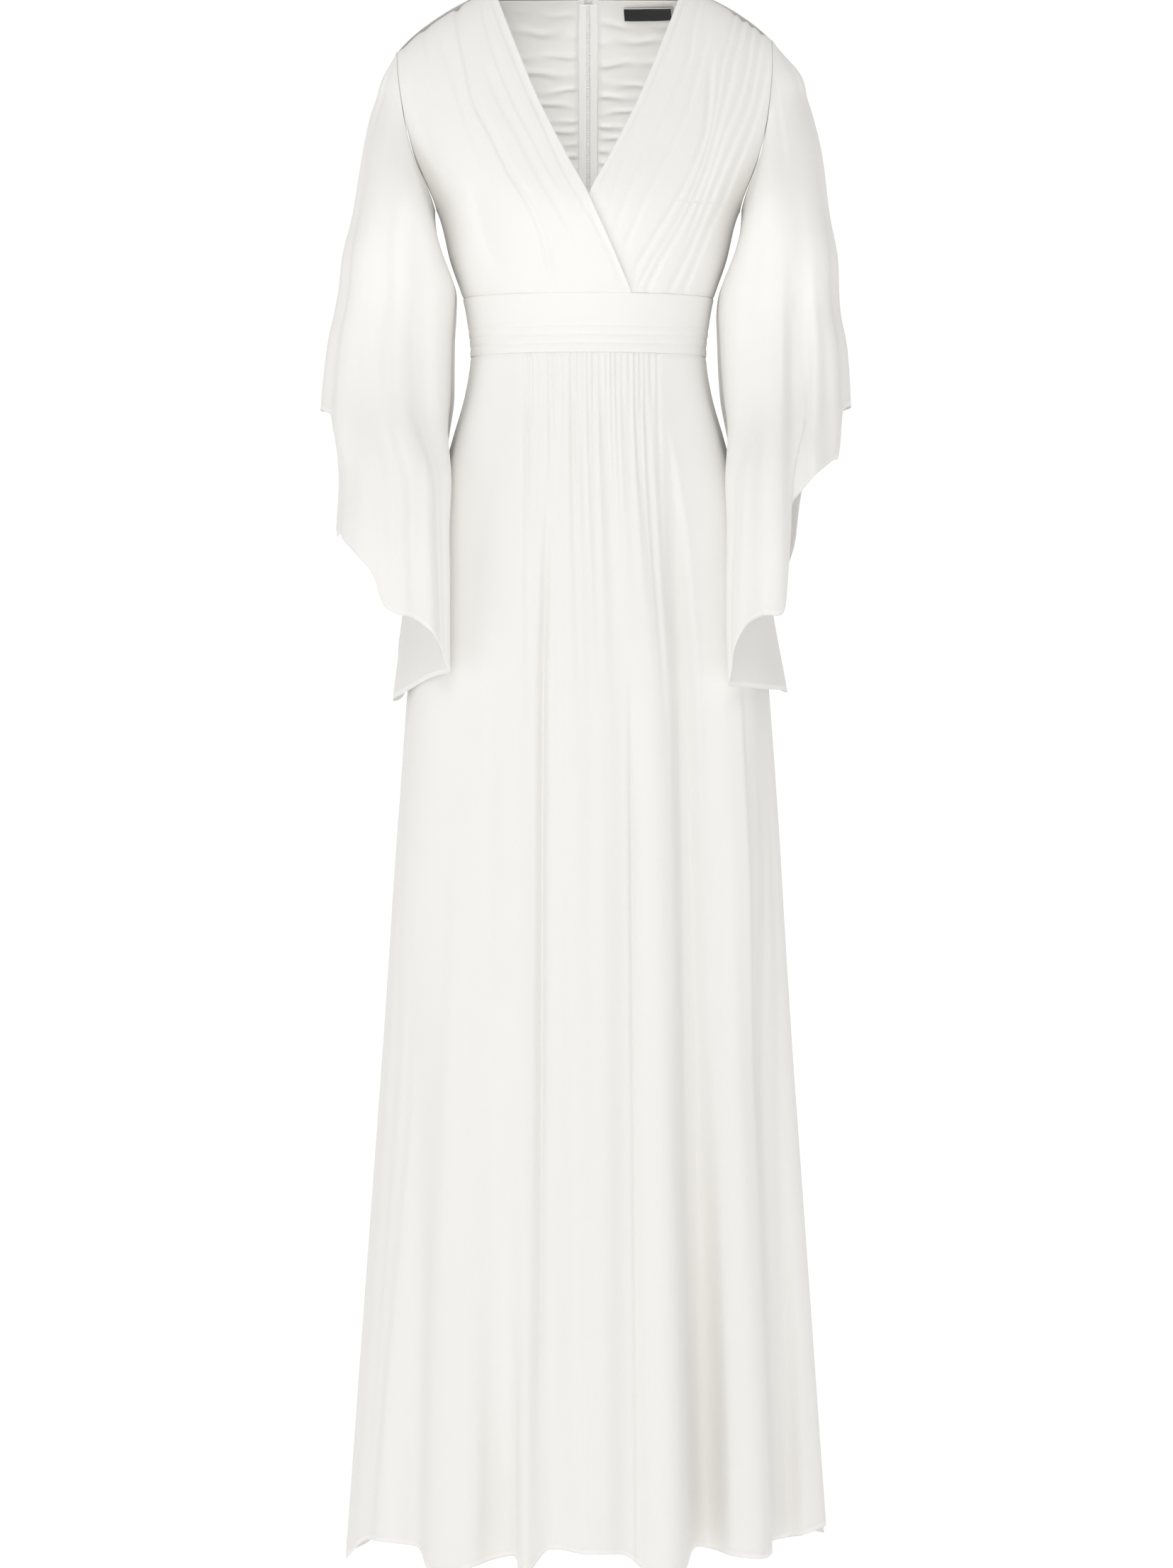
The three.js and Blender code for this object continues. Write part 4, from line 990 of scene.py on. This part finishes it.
# the coil is one nylon thread wound to and fro across the slit: its loops are made as short rods
def coil_loops():
    count = int((ZIP_TOP - ZIP_END) / COIL_PITCH)
    v = (np.arange(count) + 0.5) / count
    middle = np.zeros(count)
    inward = -outward(zip_surface, middle, v, 1)
    seat = zip_surface(middle, v) + inward * (TAPE_INSET + TAPE_WALL + SEAM + COIL_SEAT)
    down = zip_surface(middle, v + 0.001) - zip_surface(middle, v - 0.001)
    down /= np.linalg.norm(down, axis=1, keepdims=True)
    side = np.array([1.0, 0, 0])
    rings = len(COIL_LOOP["place"])
    points, faces = [], []
    for k in range(count):
        first = len(points)
        slant = COIL_SLANT if k % 2 else -COIL_SLANT
        for place, thick, bow in each(COIL_LOOP):
            centre = seat[k] + side * place * COIL_WIDTH + inward[k] * bow + down[k] * slant * place
            for a in range(COIL_SIDES):
                angle = a * 2 * math.pi / COIL_SIDES
                points.append(centre + (down[k] * math.cos(angle) + inward[k] * math.sin(angle)) * thick)
        for j in range(rings - 1):
            here = first + j * COIL_SIDES
            for a in range(COIL_SIDES):
                b = (a + 1) % COIL_SIDES
                faces.append((here + a, here + b, here + COIL_SIDES + b, here + COIL_SIDES + a))
        faces.append(tuple(first + a for a in reversed(range(COIL_SIDES))))
        faces.append(tuple(first + (rings - 1) * COIL_SIDES + a for a in range(COIL_SIDES)))
    mesh = bpy.data.meshes.new("zip_coil_loops")
    mesh.from_pydata((np.array(points) * MM).tolist(), [], faces)
    return placed(mesh)


def nylon():
    thread, nodes, links, shader = new_finish("off_white_nylon", {
        "Roughness": 0.38, "Subsurface Weight": 0.1, "Subsurface Radius": (0.001, 0.001, 0.001),
    })
    place = nodes.new("ShaderNodeTexCoord").outputs["Object"]
    cloud = pattern(nodes, links, "Noise", place, {"Scale": 900})
    coloured(nodes, links, shader, cloud, ((0.955, 0.95, 0.93), (0.98, 0.975, 0.96)))
    return thread


loops = coil_loops()
loops.data.materials.append(nylon())
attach(loops, "dress")
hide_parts("zip_coil")


# the slider and its pull are die-cast and enamelled to match the cloth
def enamelled_metal():
    values = {"Coat Weight": 0.4, "Coat Roughness": 0.15}
    enamel, nodes, links, shader = new_finish("off_white_enamel", values)
    place = nodes.new("ShaderNodeTexCoord").outputs["Object"]
    rub = pattern(nodes, links, "Noise", place, {"Scale": 700, "Detail": 4})
    coloured(nodes, links, shader, rub, ((0.62, 0.60, 0.55), (0.80, 0.78, 0.73)), (0.3, 0.55))
    glossed(nodes, links, shader, rub, 0.25, 0.45)
    return enamel


ENAMEL = enamelled_metal()
CAST_EDGE = 0.12
for node in ("zip_slider", "zip_pull"):
    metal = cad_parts[node]
    metal.data.materials.clear()
    metal.data.materials.append(ENAMEL)
    rounded = metal.modifiers.new("cast edges", "BEVEL")
    rounded.width = CAST_EDGE * MM
    rounded.segments = 2
    rounded.limit_method = "ANGLE"

# ---------------------------------------------------------------- neck label
# A small woven label in black satin, sewn to the lining at the wearer's left of the zip. It is bare,
# with a pale woven edge all round.

# where it lies as shares of the back, and its size and its pale edge in metres of cloth
LABEL = {
    "shares": (0.556, 0.80), "levels": (0.034, 0.075), "wall": 0.6,
    "size": (0.0539, 0.0166), "pale": 0.0007,
}
# how much its outer end is let down to lie level, how far it lies inside the back, clear of the
# tallest ruche, and how deep it waves
LABEL_LEVEL = 0.007
OVER_RUCHES = 3.6
LABEL_INSET = LINING["inset"] + LINING["clear"] + OVER_RUCHES
LABEL_WAVE = 0.15


def label_surface(share, v):
    outer = (LABEL["shares"][1] - share) / (LABEL["shares"][1] - LABEL["shares"][0])
    return back_surface("left")(share, v - LABEL_LEVEL * outer)


def label_rise(share, v):
    return -LABEL_INSET - LABEL_WAVE * np.sin((share - LABEL["shares"][0]) / 0.23 * np.pi * 3)


def black_satin():
    satin, nodes, links, shader = new_finish("black_woven_satin", {"Roughness": 0.42})
    place = cloth_place(nodes)
    ribs = pattern(nodes, links, "Wave", place, {"Scale": 700, "Distortion": 0.8}, "Y")
    black = coloured(nodes, links, shader, ribs, ((0.008, 0.008, 0.009), (0.022, 0.022, 0.025)))
    # the woven edge is pale on all four sides
    split = nodes.new("ShaderNodeSeparateXYZ")
    links.new(place, split.inputs[0])
    inner = []
    for axis, length in (("X", LABEL["size"][0]), ("Y", LABEL["size"][1])):
        inset = nodes.new("ShaderNodeMath")
        inset.operation = "PINGPONG"
        inset.inputs[1].default_value = length / 2
        links.new(split.outputs[axis], inset.inputs[0])
        inner.append(inset.outputs[0])
    nearest = nodes.new("ShaderNodeMath")
    nearest.operation = "MINIMUM"
    links.new(inner[0], nearest.inputs[0])
    links.new(inner[1], nearest.inputs[1])
    edge = nodes.new("ShaderNodeMath")
    edge.operation = "LESS_THAN"
    edge.inputs[1].default_value = LABEL["pale"]
    links.new(nearest.outputs[0], edge.inputs[0])
    two = nodes.new("ShaderNodeMix")
    two.data_type = "RGBA"
    links.new(edge.outputs[0], two.inputs["Factor"])
    links.new(black, two.inputs[6])
    two.inputs[7].default_value = (0.70, 0.68, 0.63, 1)
    links.new(two.outputs[2], shader.inputs["Base Color"])
    raised(nodes, links, shader, ribs, 0.3, 0.0001)
    return satin


piece = cloth_sheet(
    "bare_neck_label", label_surface, label_rise, np.linspace(*LABEL["shares"], 49),
    np.linspace(*LABEL["levels"], 13), -1, LABEL["wall"])
sew_on(piece, black_satin(), "neck_label")

# ---------------------------------------------------------------- floor, light and camera
# A plain pale floor that sweeps up behind, soft light from the front and left, and a level camera.

FLOOR = -1.585
# the sweep: half its width, where the floor starts and ends, the radius of its bend and its height
SWEEP = {"wide": 20, "near": -20, "far": 14, "bend": 4, "high": 14}


def pale_sweep():
    bend = np.radians(np.arange(6, 91, 6))
    back = SWEEP["far"] + SWEEP["bend"]
    middle = (SWEEP["bend"] + SWEEP["high"]) / 2
    floor = np.linspace(SWEEP["near"], SWEEP["far"], 8)
    length = [floor, SWEEP["far"] + SWEEP["bend"] * np.sin(bend), [back, back]]
    height = [floor * 0, SWEEP["bend"] * (1 - np.cos(bend)), [middle, SWEEP["high"]]]
    points, faces = [], []
    for y, z in zip(np.concatenate(length), np.concatenate(height)):
        points += [(-SWEEP["wide"], y, FLOOR + z), (SWEEP["wide"], y, FLOOR + z)]
    for k in range(0, len(points) - 2, 2):
        faces.append((k, k + 1, k + 3, k + 2))
    mesh = bpy.data.meshes.new("pale_sweep")
    mesh.from_pydata(points, [], faces)
    sweep = placed(mesh)
    paper = new_finish("white_paper", {
        "Base Color": (0.88, 0.88, 0.88, 1), "Roughness": 0.9,
        "Emission Color": (1, 1, 1, 1), "Emission Strength": 0.55,
    })[0]
    mesh.materials.append(paper)
    return sweep


pale_sweep()
world = bpy.data.worlds.new("soft_room")
world.use_nodes = True
set_sockets(world.node_tree.nodes["Background"], {"Color": (1, 1, 1, 1), "Strength": 0.455})
bpy.context.scene.world = world


def soft_box(name, place, aim, size, power):
    light = bpy.data.lights.new(name, "AREA")
    light.shape = "RECTANGLE"
    light.size, light.size_y = size
    light.energy = power
    lamp = bpy.data.objects.new(name, light)
    bpy.context.scene.collection.objects.link(lamp)
    lamp.location = place
    lamp.visible_camera = False
    away = np.array(place) - np.array(aim)
    tilt = math.acos(away[2] / np.linalg.norm(away))
    lamp.rotation_euler = (tilt, 0, math.atan2(away[1], away[0]) + math.pi / 2)


soft_box("front_box", (-0.9, -5.0, 1.8), (0, 0, -0.6), (2.0, 2.0), 13)
soft_box("near_box", (-0.5, -6.2, -0.5), (0, 0, -0.78), (0.9, 0.9), 25)
soft_box("top_box", (-0.3, -2.4, 1.7), (0, 0, -0.2), (1.6, 1.0), 18)
soft_box("left_box", (-4.2, -2.6, 0.2), (0, 0, -0.75), (2.2, 2.8), 13)
soft_box("right_box", (4.2, -2.6, 0.2), (0, 0, -0.75), (2.2, 2.8), 3)
soft_box("neck_fill", (0, -0.035, -0.13), (0, 0.1, -0.13), (0.09, 0.16), 0.06)

# a long lens, level with the middle of the dress: how far away it is, and the height it takes in there
CAMERA_AWAY = 6.5
SEEN_THERE = 1.5484
SENSOR = 36
camera = bpy.data.cameras.new("camera")
camera.lens = SENSOR * CAMERA_AWAY / SEEN_THERE
camera.sensor_width = SENSOR
viewer = bpy.data.objects.new("camera", camera)
bpy.context.scene.collection.objects.link(viewer)
viewer.location = (-0.00175, -CAMERA_AWAY, -0.784)
viewer.rotation_euler = (math.pi / 2, 0, 0)
bpy.context.scene.camera = viewer
bpy.context.scene.view_settings.view_transform = "Standard"
